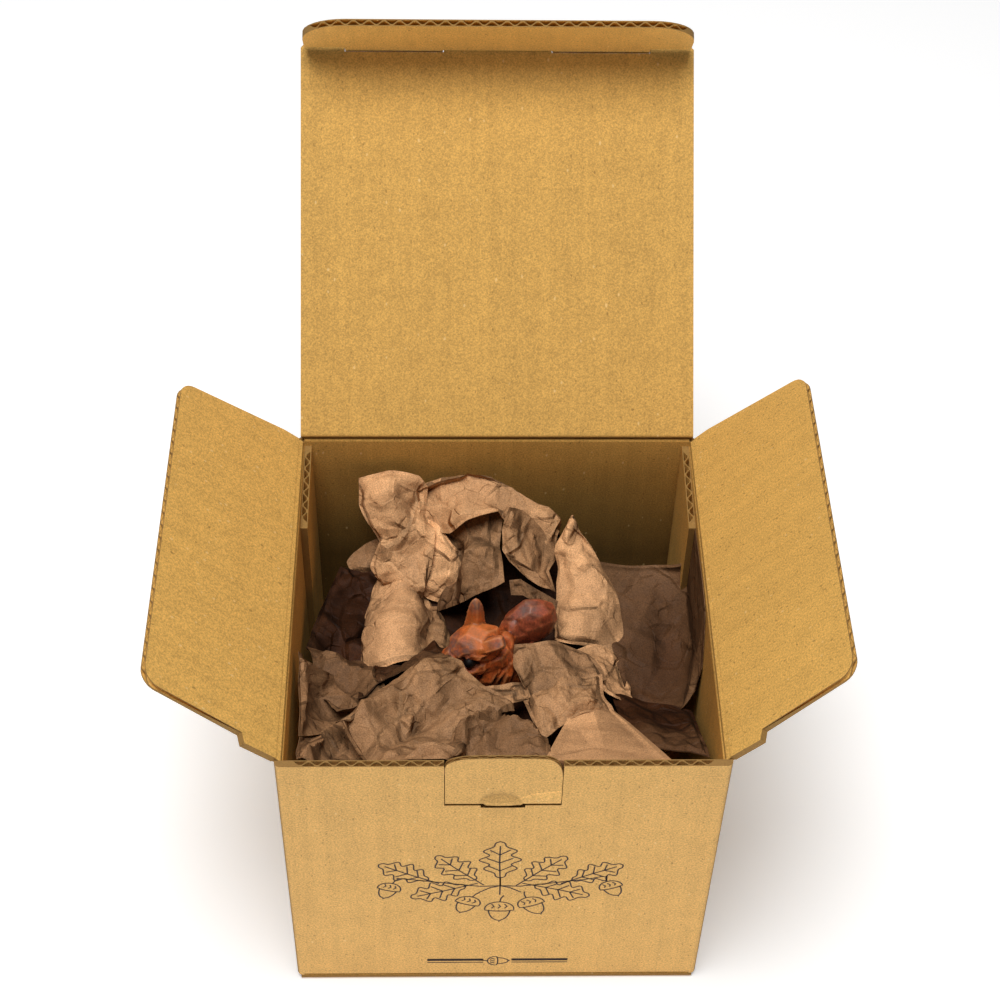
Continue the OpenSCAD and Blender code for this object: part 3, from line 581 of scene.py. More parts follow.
def placed(line, at, turn, size):
    c, s = math.cos(math.radians(turn)) * size, math.sin(math.radians(turn)) * size
    return [(at[0] + x * c - z * s, at[1] + x * s + z * c) for x, z in line]


def oak_leaf(at, turn, size):
    """Outline, midrib and veins of a lobed leaf that points along +X."""
    edge = [(k / 36, 0.24 * math.sin(math.pi * k / 36) ** 0.7 * (1 + 0.3 * math.cos(math.tau * k / 9)))
            for k in range(37)]
    lines = [edge + [(x, -z) for x, z in reversed(edge)], [(-0.22, 0), (0.4, 0.012), (0.88, 0)]]
    for x, reach in ((0.2, 0.17), (0.42, 0.2), (0.64, 0.15)):
        lines += [[(x, 0.005), (x + 0.13, side * reach)] for side in (1, -1)]
    return [placed(line, at, turn, size) for line in lines]


def acorn(at, turn, size):
    """Nut, cup with a few scales, and stalk; the nut points along +X."""
    nut = [(0.62 * math.cos(a), 0.3 * math.sin(a)) for a in np.linspace(-1.45, 1.45, 15)]
    nut.insert(8, (0.7, 0))
    cup = [(-0.36 * math.cos(a), 0.4 * math.sin(a)) for a in np.linspace(-1.5, 1.5, 13)]
    rim = [(0.07, 0.4), (0.12, 0.2), (0.13, 0), (0.12, -0.2), (0.07, -0.4)]
    lines = [nut, cup + list(rim) + cup[:1], [(-0.36, 0), (-0.55, 0.03), (-0.7, 0.1)]]
    lines += [[(-0.24, z), (-0.12, z + 0.07), (-0.02, z)] for z in (-0.22, -0.04, 0.14)]
    return [placed(line, at, turn, size) for line in lines]


def front_drawing():
    lines = []
    for at, turn, size in (
            ((0, 82), 91, 27), ((10, 80), 48, 24), ((-10, 80.5), 131, 24), ((14, 76), -20, 24),
            ((-14, 76), 202, 24), ((29, 80), 30, 23), ((-29, 80.5), 149, 23)):
        lines += oak_leaf(at, turn, size)
    for at, turn, size in (
            ((0, 58), -91, 15), ((13, 62), -64, 14), ((-13, 63), 247, 13), ((45, 75), -66, 12),
            ((-45, 74), 250, 12)):
        lines += acorn(at, turn, size)
    lines += [[(0, 76), (side * 8, 75.6), (side * 16, 77), (side * 26, 79)] for side in (1, -1)]
    lines += [[(0, 69), (0, 82)], [(8.6, 71), (4, 74.5), (0, 76)], [(-8.4, 71), (-4, 74.5), (0, 76)],
              [(41.4, 83), (36, 81), (26, 79)], [(-41.8, 82), (-36, 81), (-26, 79)]]
    lines += [[(side * 6, z), (side * 30, z)] for side in (1, -1) for z in (13.6, 15.2, 15.6, 16.0, 16.4)]
    lines += acorn((-1, 14.8), 0, 9)
    return lines


class CARTON_OT_print(bpy.types.Operator):
    """Print the oak twigs on the front"""
    bl_idname = "carton.print"
    bl_label = "Print"

    def execute(self, context):
        own = context.scene.carton
        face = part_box("front_panel")[0].y - 0.05 * MM
        verts, faces = [], []
        for line in front_drawing():
            line = np.array(line)
            way = unit(np.gradient(line, axis=0))
            side = np.stack([-way[:, 1], way[:, 0]], 1) * own.line_width / MM / 2
            start = len(verts)
            for p, q in zip(line + side, line - side):
                verts += [(p[0] * MM, face, p[1] * MM), (q[0] * MM, face, q[1] * MM)]
            faces += [(start + 2 * k, start + 2 * k + 1, start + 2 * k + 3, start + 2 * k + 2)
                      for k in range(len(line) - 1)]
        drawing = mesh_piece("front_print", verts, faces, "carton", smooth=False)
        set_material(drawing, liner(own, "print_ink", own.ink, Dark_Fibre=own.ink))
        return {"FINISHED"}


# Wrapping paper: the half width in metres and the height over the box lid in millimetres that its nets
# are drawn for, and the way to the light that tints its facets
NET_HALF = 0.083
NET_TALL = 59.4
LIGHT = (-0.45, -0.35, 0.82)


def settle(point):
    """A net point, in millimetres and height over the box lid, as a place in the shared frame in metres."""
    x, y, h = point
    return Vector((x * MM * IN_W / NET_HALF, y * MM * IN_D / NET_HALF,
                   BOX_TOP + CLEARANCE + h * (SIDE_TOP - BOX_TOP) / NET_TALL))


def facets(points, size, spacing, rng):
    """Random triangulated relief over a rectangle: the heights at points (n, 2)."""
    w, h = size
    cols, rows = max(2, round(w / spacing)), max(2, round(h / spacing))
    sites = [(i * w / cols, j * h / rows) for i in (0, cols) for j in range(rows + 1)]
    sites += [(i * w / cols, j * h / rows) for i in range(1, cols) for j in (0, rows)]
    for i in range(cols):
        for j in range(rows):
            sites.append(((i + 0.5 + rng.uniform(-0.42, 0.42)) * w / cols,
                          (j + 0.5 + rng.uniform(-0.42, 0.42)) * h / rows))
    verts, _, faces, _, _, _ = delaunay_2d_cdt([Vector(s) for s in sites], [], [], 0, 1e-7)
    at = np.array([tuple(v) for v in verts])
    heights = rng.uniform(-1, 1, len(at))
    tris = np.array([tuple(f) for f in faces])
    out = np.zeros(len(points))
    for a, b, c in tris:
        pa, pb, pc = at[a], at[b], at[c]
        low = np.minimum(np.minimum(pa, pb), pc) - 1e-9
        high = np.maximum(np.maximum(pa, pb), pc) + 1e-9
        near = np.where(((points >= low) & (points <= high)).all(1))[0]
        d = (pb[1] - pc[1]) * (pa[0] - pc[0]) + (pc[0] - pb[0]) * (pa[1] - pc[1])
        if len(near) == 0 or abs(d) < 1e-15:
            continue
        q = points[near] - pc
        s = ((pb[1] - pc[1]) * q[:, 0] + (pc[0] - pb[0]) * q[:, 1]) / d
        t = ((pc[1] - pa[1]) * q[:, 0] + (pa[0] - pc[0]) * q[:, 1]) / d
        inside = (s >= -1e-9) & (t >= -1e-9) & (s + t <= 1 + 1e-9)
        k = near[inside]
        out[k] = s[inside] * heights[a] + t[inside] * heights[b] + (1 - s - t)[inside] * heights[c]
    return out


def pleats(points, size, spacing, rng):
    """Long straight folds that cross a sheet three ways: the heights at points (n, 2)."""
    reach = max(size)
    out = 0
    turn = rng.uniform(0, math.pi)
    for _ in range(3):
        turn += math.pi / 3 * rng.uniform(0.7, 1.3)
        count = int(2.5 * reach / spacing) + 6
        at = np.cumsum(rng.uniform(0.35, 1.65, count)) * spacing - 1.2 * reach
        way = np.array([math.cos(turn), math.sin(turn)])
        out = out + np.interp(points @ way, at, rng.uniform(-1, 1, count))
    return out


def interpolate(net, r, c, rounding):
    """Point of the net at row r and column c: folded straight, or rounded by a Catmull-Rom curve."""
    rows, cols = net.shape[:2]

    def curve(p, t):
        n = len(p)
        i = min(int(t), n - 2)
        f = t - i
        a, b = p[i], p[i + 1]
        straight = a * (1 - f) + b * f
        if rounding == 0:
            return straight
        before, after = p[max(i - 1, 0)], p[min(i + 2, n - 1)]
        smooth = 0.5 * (2 * a + (b - before) * f + (2 * before - 5 * a + 4 * b - after) * f * f
                        + (3 * a - before - 3 * b + after) * f ** 3)
        return straight * (1 - rounding) + smooth * rounding

    return curve(np.array([curve(net[i], c) for i in range(rows)]), r)


def knots(lengths, step):
    """Places along a net, about a step apart: 0, 1, 2 and so on at its fold points."""
    parts = [np.linspace(i, i + 1, max(2, round(length / step)), endpoint=False)
             for i, length in enumerate(lengths)]
    return np.concatenate(parts + [[len(lengths)]])


def normals(grid):
    return unit(np.cross(np.gradient(grid, axis=1), np.gradient(grid, axis=0)))


def paper_sheet(name, settings, net, seed, rounding, depth, facet, dark):
    """A crumpled sheet on a net of fold points, as a thin closed shell."""
    net = np.array([[settle(p) for p in row] for row in net])
    high = np.linalg.norm(np.diff(net, axis=0), axis=2).mean(1)
    wide = np.linalg.norm(np.diff(net, axis=1), axis=2).mean(0)
    step = settings.step * 1
    rs, cs = knots(high, step), knots(wide, step)
    grid = np.array([[interpolate(net, r, c, rounding) for c in cs] for r in rs])
    v = np.interp(rs, range(net.shape[0]), np.concatenate([[0], np.cumsum(high)]))
    u = np.interp(cs, range(net.shape[1]), np.concatenate([[0], np.cumsum(wide)]))
    uu, vv = np.meshgrid(u, v)
    flat = np.stack([uu.ravel(), vv.ravel()], 1)
    rng = np.random.default_rng(seed)
    size = (u[-1] + 1e-6, v[-1] + 1e-6)
    spacing = settings.facet * facet
    shape = 0.8 * pleats(flat, size, spacing * 2, rng)
    shape = shape + (0.34 * facets(flat, size, spacing * 0.85, rng)
                     + 0.1 * facets(flat, size, spacing * 0.36, rng))
    shape = shape.reshape(uu.shape)
    rim = np.minimum.reduce([uu, vv, u[-1] - uu, v[-1] - vv])
    hold = np.clip(rim / (4 * MM), 0.45, 1)
    moved = grid + normals(grid) * (shape * hold * settings.depth * depth * 0.5)[..., None]
    # inside the carton and over the box
    moved[..., 0] = np.clip(moved[..., 0], CLEARANCE - IN_W, IN_W - CLEARANCE)
    moved[..., 1] = np.clip(moved[..., 1], CLEARANCE - IN_D, IN_D - CLEARANCE)
    moved[..., 2] = np.maximum(moved[..., 2], BOX_TOP + CLEARANCE)
    # how sharply the sheet folds at each point: up to 1 on a ridge, down to -1 in a valley; ridges are
    # drawn lighter, part rubbed paper and part painted light, and valleys darker as painted shade
    bend = (4 * shape[1:-1, 1:-1] - shape[2:, 1:-1] - shape[:-2, 1:-1] - shape[1:-1, 2:]
            - shape[1:-1, :-2])
    fold = np.zeros_like(shape)
    fold[1:-1, 1:-1] = np.clip(bend * 1.8 * settings.step / step, -1, 1)
    # painted light and shade: facets that turn to the light are lighter and those turned away darker, one
    # value for each face
    tilt = unit(np.cross(moved[1:, 1:] - moved[:-1, :-1], moved[:-1, 1:] - moved[1:, :-1]))
    if (tilt @ np.array((0, -0.6, 0.8))).mean() < 0:
        tilt = -tilt
    facing = tilt @ np.array(LIGHT)
    slant = np.clip(0.75 * (facing - facing.mean()) / max(facing.std(), 0.1), -1, 1)
    # painted shade: the paper darkens down into the nest, and each lap by its own amount
    over = (moved[..., 2] - BOX_TOP) / MM
    deep = np.clip((32 - over) / 110, 0, 0.3) + dark
    half = normals(moved) * (settings.thickness / 2)
    verts, faces = shell(moved + half, moved - half)
    obj = mesh_piece("sheet_" + name, verts, faces, "wrapping", crisp=24)
    write_values(obj.data, fold=np.concatenate([fold.ravel(), -fold.ravel()]),
                 deep=np.tile(deep.ravel(), 2), wrinkle=np.full(2 * deep.size, min(depth, 1.0)))
    rims = np.zeros(len(faces) - 2 * slant.size)
    write_values(obj.data, "FACE", slant=np.concatenate([np.repeat(slant.ravel(), 2), rims]))
    return obj


# Laps of the paper: net of fold points [x, y, height over the lid] in millimetres, seed, how round
# the folds are, depth and width of the crumples, how much painted shade it gets for lying in the nest, and
# whether a lap of the CAD has the same name
LAPS = {
    "back_left": ([
        [[-60, 76, 46], [-46, 78, 48], [-34, 77, 46], [-30, 74, 42]],
        [[-59, 70, 35], [-46, 66, 42], [-37, 66, 39], [-30, 65, 31]],
        [[-50, 58, 25], [-41, 56, 31], [-33, 58, 32], [-27, 60, 31]],
        [[-54, 51, 16], [-43, 48, 22], [-34, 48, 22], [-27, 52, 28]],
        [[-50, 48, 11], [-41, 44, 14], [-36, 41, 12], [-32, 43, 10]],
        [[-49, 52, 2], [-42, 50, 2], [-36, 48, 2], [-32, 49, 2]]],
        11, 0.4, 1.0, 1.0, 0.26, True),
    "back_fold": ([
        [[-30, 65, 31], [-26, 62, 32], [-19, 56, 24], [-14, 51, 10]],
        [[-31, 55, 21], [-25, 51, 20], [-20, 48, 14], [-15, 46, 6]],
        [[-35, 45, 8], [-30, 41, 6], [-25, 41, 4], [-19, 42, 4]]],
        13, 0.3, 0.8, 1.0, 0, True),
    "left_flap": ([
        [[-63, 64, 10], [-58, 66, 13], [-48, 68, 18]],
        [[-66, 60, 8], [-58, 60, 9], [-47, 62, 10]],
        [[-64, 56, 6], [-59, 55, 5], [-47, 57, 3]]],
        17, 0.5, 0.6, 0.7, 0.49, False),
    "hood": ([
        [[-38, 79, 20], [-26, 80, 24], [-13, 80, 27], [0, 79, 26], [15, 73, 19], [27, 65, 10]],
        [[-39, 79, 38], [-26, 78, 47], [-13, 78, 49], [-1, 77, 48], [14, 70, 37], [26, 62, 25]],
        [[-36, 72, 32], [-25, 68, 40], [-13, 66, 44], [0, 64, 42], [12, 60, 32], [25, 54, 17]],
        [[-33, 65, 25], [-20, 56, 32], [-11, 54, 42], [0, 56, 45], [5, 55, 39], [14, 50, 25]]],
        23, 0.4, 1.0, 1.1, 0.46, True),
    "hood_tongue": ([
        [[4, 60, 45], [11, 62, 40], [19, 59, 33], [25, 57, 24]],
        [[2, 53, 38], [8, 51, 37], [16, 51, 28], [25, 51, 20]],
        [[2, 46, 33], [8, 43, 28], [15, 41, 22], [22, 44, 20]],
        [[5, 43, 29], [13, 38, 23], [21, 35, 19], [25, 36, 16]]],
        31, 0.3, 1.0, 1.0, 0.56, True),
    "hood_inner": ([
        [[-25, 61, 27], [-13, 62, 37], [-3, 63, 41], [3, 62, 40]],
        [[-22, 51, 23], [-13, 48, 32], [-6, 47, 35], [1, 48, 33]],
        [[-25, 43, 12], [-14, 38, 25], [-7, 37, 33], [2, 39, 33]],
        [[-28, 33, 7], [-17, 29, 17], [-8, 27, 27], [3, 29, 31]]],
        29, 0.1, 1.3, 0.9, 0.7, True),
    "behind_tail": ([
        [[5, 37, 23], [10, 36, 25], [18, 34, 20], [27, 31, 15]],
        [[6, 33, 18], [11, 31, 20], [19, 28, 17], [27, 26, 12]]],
        33, 0, 0.5, 0.6, 0.68, False),
    "right_fold": ([
        [[31, 59, 37], [32, 60, 39], [33, 60, 39], [34, 58, 38]],
        [[25, 51, 30], [30, 50, 34], [36, 52, 32], [41, 50, 29]],
        [[25, 44, 23], [30, 42, 28], [38, 42, 30], [46, 44, 23]],
        [[25, 35, 18], [33, 31, 24], [41, 32, 24], [51, 34, 19]],
        [[25, 25, 11], [31, 20, 17], [42, 21, 17], [54, 22, 12]],
        [[26, 15, 9], [30, 11, 12], [40, 11, 10], [54, 8, 7]]],
        37, 0.7, 0.9, 1.2, 0.16, True),
    "right_sheet": ([
        [[40, 47, 25], [56, 49, 19], [68, 50, 18], [79, 46, 24], [81.5, 44, 40], [82.2, 42, 53]],
        [[44, 36, 15], [61, 38, 12], [72, 38, 12], [80, 33, 16], [82, 28, 38], [82.3, 26, 55]],
        [[47, 22, 11], [63, 21, 9], [73, 19, 9], [80, 12, 14], [82, 8, 36], [82.3, 6, 57]],
        [[50, 5, 9], [64, 2, 8], [73, 0, 8], [79, -5, 11], [82, -6, 30], [82.3, -8, 54]],
        [[54, -14, 8], [61, -20, 7], [68, -26, 10], [75, -24, 13], [80.5, -19, 18], [82.2, -18, 33]]],
        41, 0.8, 0.7, 1.9, 0.73, True),
    "right_corner": ([
        [[46, -15, 12], [61, -18, 8], [80, -24, 11]],
        [[48, -32, 22], [63, -40, 22], [80, -50, 28]],
        [[50, -54, 32], [64, -62, 37], [80, -71, 44]]],
        43, 0.5, 1.0, 1.4, 0.94, True),
    "right_low": ([
        [[32, 7, 13], [42, 10, 13], [49, 8, 11], [55, 3, 8]],
        [[37, -4, 18], [44, -4, 16], [50, -6, 13], [57, -11, 10]],
        [[34, -14, 20], [42, -17, 20], [49, -22, 20], [58, -23, 14]]],
        47, 0.4, 1.1, 0.8, 0.3, True),
    "front_right": ([
        [[34, -25, 26], [36, -25, 27], [39, -27, 26]],
        [[25, -46, 33], [38, -45, 34], [52, -44, 31]],
        [[16, -72, 46], [41, -72, 46], [66, -72, 45]],
        [[17, -73, 36], [41, -73, 36], [66, -73, 36]]],
        53, 0.2, 0.18, 2, 0.4, True),
    "front_fold": ([
        [[11, -29, 21], [21, -23, 23], [31, -19, 25], [42, -18, 25]],
        [[13, -42, 28], [22, -35, 27], [32, -30, 27], [42, -28, 26]],
        [[15, -54, 32], [23, -47, 30], [33, -40, 29], [46, -37, 26]]],
        59, 0.4, 1.1, 0.8, 0.55, True),
    "front_strip": ([
        [[-16, -42, 30], [-8, -40, 29], [0, -33, 27], [6, -32, 26], [14, -38, 27]],
        [[-20, -58, 36], [-12, -54, 35], [-2, -50, 35], [7, -51, 34], [18, -53, 34]],
        [[-25, -73, 44], [-16, -72, 45], [-5, -72, 46], [7, -72, 46], [19, -72, 46]]],
        61, 0.2, 1.7, 0.75, 0.81, True),
    "front_left": ([
        [[-66, -48, 38], [-50, -31, 36], [-32, -15, 33], [-21, -11, 33]],
        [[-63, -50, 43], [-47, -34, 40], [-30, -18, 38], [-20, -14, 37]],
        [[-59, -57, 40], [-41, -42, 37], [-26, -24, 35], [-15.7, -16.3, 36]],
        [[-51, -72, 45], [-37, -50, 37], [-23, -28, 33], [-14, -19.5, 33.2]],
        [[-36, -72, 45], [-25, -52, 34], [-11, -35, 31], [-6, -26, 31]],
        [[-22, -72, 45], [-10, -49, 34], [-1, -37, 31], [4, -32.5, 28]],
        [[-19, -71, 41], [-8, -47, 29], [1, -35, 27], [5, -31.5, 25]]],
        71, 0.4, 1.1, 0.9, 0.68, True),
    "under_chest": ([
        [[-8, -14, 15], [2, -15, 17], [11, -13, 16]],
        [[-7, -28, 21], [3, -27, 20], [13, -24, 20]]],
        73, 0, 0.8, 1.0, 0.51, True),
    "left_wall": ([
        [[-82, -20, 47], [-80, -17, 40], [-75, -14, 29], [-69, -10, 18]],
        [[-82, -32, 44], [-78, -26, 28], [-73, -21, 18], [-67, -15, 15]],
        [[-81, -46, 44], [-76, -36, 26], [-68, -31, 21], [-59, -25, 21]],
        [[-80, -58, 42], [-71, -48, 30], [-64, -43, 28], [-56, -38, 29]]],
        83, 0.3, 1.0, 1.2, 0.69, True),
    "left_front": ([
        [[-79, -58, 42], [-72, -47, 29], [-63, -41, 27], [-50, -44, 29]],
        [[-79, -66, 43], [-71, -60, 35], [-61, -57, 35], [-48, -60, 36]],
        [[-78, -72, 46], [-70, -72, 46], [-60, -72, 46], [-44, -72, 45]]],
        79, 0.2, 1.3, 1.0, 0.72, False),
    "left_back": ([
        [[-68, 55, 12], [-59, 55, 8], [-44, 56, 5]],
        [[-77, 29, 11], [-67, 31, 6], [-50, 33, 2]],
        [[-81, 6, 16], [-69, 4, 9], [-51, 2, 3]]],
        89, 0.3, 1.0, 1.2, 0.82, True),
    "left_middle": ([
        [[-80, 6, 18], [-65, 4, 11], [-50, 3, 7]],
        [[-75, -14, 17], [-62, -15, 15], [-49, -14, 16]],
        [[-66, -34, 25], [-57, -31, 26], [-44, -27, 26]]],
        91, 0.3, 1.5, 0.9, 0.72, False),
    "left_fold": ([
        [[-52, 51, 8], [-43, 51, 14], [-37, 48, 13], [-30, 45, 5]],
        [[-56, 36, 5], [-46, 31, 15], [-36, 31, 16], [-26, 33, 4]],
        [[-58, 16, 4], [-47, 10, 16], [-36, 11, 16], [-28, 15, 5]],
        [[-57, -4, 9], [-46, -5, 16], [-39, -3, 17], [-30, 1, 13]]],
        97, 0.9, 0.9, 1.2, 0.24, True),
    "left_strip": ([
        [[-29, 38, 4], [-26, 35, 8], [-22, 31, 4]],
        [[-31, 19, 5], [-27, 18, 10], [-21, 16, 7]],
        [[-34, 1, 12], [-28, 1, 16], [-21, 1, 14]]],
        101, 0.3, 0.7, 0.7, 0.5, True),
    "left_band": ([
        [[-57, 0, 9], [-43, 4, 11], [-33, 9, 9], [-24, 10, 9]],
        [[-58, -10, 16], [-43, -6, 19], [-32, 0, 18], [-22, 1, 19]],
        [[-59, -24, 24], [-44, -17, 26], [-31, -10, 27], [-20, -9, 30]]],
        107, 0.3, 1.0, 0.8, 0.87, True),
    "by_squirrel": ([
        [[5, 4, 18.5], [15, 4, 21.5], [25, 6, 20], [37, 2, 14]],
        [[6, -9, 21], [14, -5, 19], [26, -4, 18], [42, -6, 15]],
        [[10, -18, 21], [14, -20, 14], [27, -17, 17], [45, -14, 18]]],
        103, 0.3, 0.8, 1.1, 0.54, True),
}

def bed_net():
    """Rings of points round the squirrel's foot, over the box lid and out towards its rim."""
    net = []
    for k in range(17):
        turn = math.tau * k / 16
        c, s = math.cos(turn), math.sin(turn)
        net.append([[2 + 12 * c, 9 * s, 1], [38 * c, 38 * s, 2.4 + math.sin(3 * turn)],
                    [58 * c, 58 * s, 2.6 - math.cos(5 * turn)], [74 * c, 74 * s, 1.2]])
    return net


class PAPER_OT_wrapping(bpy.types.Operator):
    """Crumple the wrapping paper round the squirrel"""
    bl_idname = "paper.wrapping"
    bl_label = "Wrapping Paper"

    def execute(self, context):
        own = context.scene.paper
        material = finish("wrapping_paper", wrapping_group, (0.9, 0.006),
                          attributes=("Fold", "Deep", "Slant", "Wrinkle"),
                          gloss={"Specular_IOR_Level": 0.15}, Color=own.colour, Deep_Color=own.deep)
        # the bed lies lowest and takes the full painted shade
        laps = dict(LAPS, bed=(bed_net(), 109, 0.6, 0.4, 1.2, 1, True))
        for name, (*lap, solid) in laps.items():
            sheet = paper_sheet(name, own, *lap)
            set_material(sheet, material)
            if solid:
                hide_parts("paper_" + name)
        return {"FINISHED"}


# Squirrel: lumps cut in flat facets, joined, then grooved; millimetres from the middle of the box lid

def cut_lump(at, size, turn, cuts, seed, wander=0.06):
    """An ellipsoid whose surface is cut flat, like wood under a knife: (verts, faces) in millimetres."""
    rng = np.random.default_rng(seed)
    k = np.arange(cuts) + 0.5
    lift = 1 - 2 * k / cuts
    around = math.pi * (1 + 5 ** 0.5) * k
    flat = np.sqrt(1 - lift ** 2)
    planes = np.stack([flat * np.cos(around), flat * np.sin(around), lift], 1)
    planes = unit(planes + rng.normal(0, 0.16, planes.shape))
    away = 1 - rng.uniform(0, wander, cuts)
    ball = bmesh.new()
    bmesh.ops.create_icosphere(ball, subdivisions=5, radius=1)
    verts = np.array([tuple(v.co) for v in ball.verts])
    faces = [tuple(v.index for v in f.verts) for f in ball.faces]
    ball.free()
    facing = verts @ planes.T
    reach = np.where(facing > 0.05, away / np.maximum(facing, 0.05), 9).min(1)
    verts = verts * np.minimum(reach, 1.16)[:, None] * np.array(size)
    spin = np.array(Euler([math.radians(t) for t in turn]).to_matrix())
    return verts @ spin.T + np.array(at), faces


def ear(base, tip, wide, thick, rings, seed, facing, outline):
    """An ear that faces one way: rings (place along it, width) of an outline of six points."""
    rng = np.random.default_rng(seed)
    base, tip = np.array(base, float), np.array(tip, float)
    along = unit(tip - base)
    side = unit(np.cross(along, facing))
    front = np.cross(side, along)
    verts, faces = [], []
    for f, w in rings:
        for x, y in outline:
            x, y = (v * w * (1 + rng.uniform(-0.07, 0.07)) for v in (x, y))
            verts.append(base + (tip - base) * f + side * x * wide + front * y * thick)
    last = len(verts) - 6
    for a in range(last):
        b = a + 1 if a % 6 < 5 else a - 5
        faces.append((a, b, b + 6, a + 6))
    faces += [tuple(range(5, -1, -1)), tuple(range(last, last + 6))]
    return np.array(verts), faces


# place, radii, turn in degrees, number of cuts, seed and how far in a cut may lie
LUMPS = (
    ((-9.5, -3, 30.3), (11.4, 8.6, 8.8), (0, -8, 6), 34, 1),        # head
    ((-17.5, -5.8, 26.5), (6.4, 5.2, 5.0), (0, -20, 12), 18, 2),    # muzzle
    ((-9.8, -8.4, 23.6), (6.8, 4.8, 4.6), (0, -18, 10), 12, 3),     # cheek
    ((-9.2, -10.0, 31.8), (5.2, 2.5, 1.8), (0, -14, 12), 9, 21),    # brow
    ((-2.3, -3, 23.6), (7.2, 7.6, 7), (0, 20, 0), 20, 4),           # neck
    ((0, -3, 14), (9, 8.8, 10), (0, 8, 0), 26, 5),                  # chest
    ((3, 0, 6), (11, 9, 6.6), (0, 0, 0), 20, 6),                    # belly
    ((6, 2, 8), (10, 10.4, 9.4), (0, 12, 0), 26, 7),                # haunches
    ((-4.4, -8.6, 15.4), (4.0, 3.4, 8), (0, 24, 0), 12, 8),         # near foreleg
    ((-4.6, 3.4, 17), (3.6, 2.8, 5.6), (0, 22, 0), 12, 9),          # far foreleg
    ((-9.6, -7.4, 15.4), (5, 2.4, 2.4), (0, 0, 8), 10, 10),         # near paw
    ((-9.6, -0.6, 15.4), (5, 2.4, 2.4), (0, 0, -8), 10, 11),        # far paw
    ((-3, -7.8, 2.6), (8.4, 3, 2.7), (0, 0, 2), 14, 12),            # near hind foot
    ((-3, 6.2, 2.6), (8.4, 3, 2.7), (0, 0, -2), 14, 13),            # far hind foot
    ((14, 13.9, 24.7), (11.6, 8.2, 10.8), (0, -30, 14), 34, 16, 0.1),  # tail
    ((8.2, 10.6, 22.6), (8, 6, 7.6), (0, 16, 20), 16, 18),          # its narrow end
    ((11, 11.5, 13), (7.4, 6.4, 9), (0, 10, 0), 20, 17),            # root of the tail
    ((1.0, 1.8, 23.6), (4.6, 5.4, 5.6), (0, 30, 0), 12, 22),        # nape
)

# foot, tip, width, thickness, rings, seed, the way it faces and its outline
EARS = (
    ((-10, 3.2, 34.4), (-9.8, 5.2, 50), 4.3, 3.0,
     ((0, 1.3), (0.1, 1.14), (0.2, 1.02), (0.34, 0.96), (0.6, 0.88), (0.8, 0.68), (0.93, 0.42), (1, 0.14)),
     19, (0.15, -1, 0.1), ((-1, 0), (-0.42, 0.72), (0.12, 1), (0.62, 0.6), (1, 0), (0, -0.9))),
    ((-8.4, -8.2, 33.6), (1.8, -8.2, 38.8), 2.9, 2.6,
     ((0, 0.9), (0.3, 1.12), (0.72, 1.12), (0.93, 0.98), (1, 0.76)), 20, (-0.1, -0.65, 0.75),
     ((-1, 0.1), (-0.75, 0.9), (0.7, 1), (1, 0.2), (0.85, -0.8), (-0.85, -0.8))),
)

# knife grooves: points on the surface, width and depth
GROOVES = (
    (((-1.7, -12, 31.3), (-3.7, -12.5, 24.1), (-7, -12.5, 19.5), (-10, -12.2, 20.6)), 0.8, 2.2),
    (((3.4, -10.5, 31), (1.6, -11.5, 25), (-1.2, -12.2, 17), (-3.1, -12, 12)), 0.6, 1.5),
    (((3.6, -11, 21), (1.4, -12, 16), (-1.4, -12.2, 10)), 0.8, 2.0),
    (((8.5, -7, 22), (6.6, -9.5, 15), (5.4, -10.5, 9)), 0.7, 1.4),
    (((1.8, -10.6, 34), (-2.4, -12, 32), (-6.5, -12.2, 31.6)), 0.8, 1.6),
)

# middle of each eye's hollow, and of each grey patch with its radius
EYES = ((-12.4, -11.2, 28.6), (-13.6, 5.0, 29.6))
GREY_PATCHES = ((-19, -6, 33, 7.5), (-14, -10, 35.5, 5.5), (1.5, -9.5, 39, 6.8), (12, 12, 36, 7))


def near_line(points, line):
    """Distance of points to a polyline."""
    best = np.full(len(points), 1e9)
    for a, b in zip(line, line[1:]):
        a, b = np.array(a, float), np.array(b, float)
        t = np.clip(((points - a) @ (b - a)) / ((b - a) @ (b - a)), 0, 1)
        best = np.minimum(best, np.linalg.norm(points - a - t[:, None] * (b - a), axis=1))
    return best


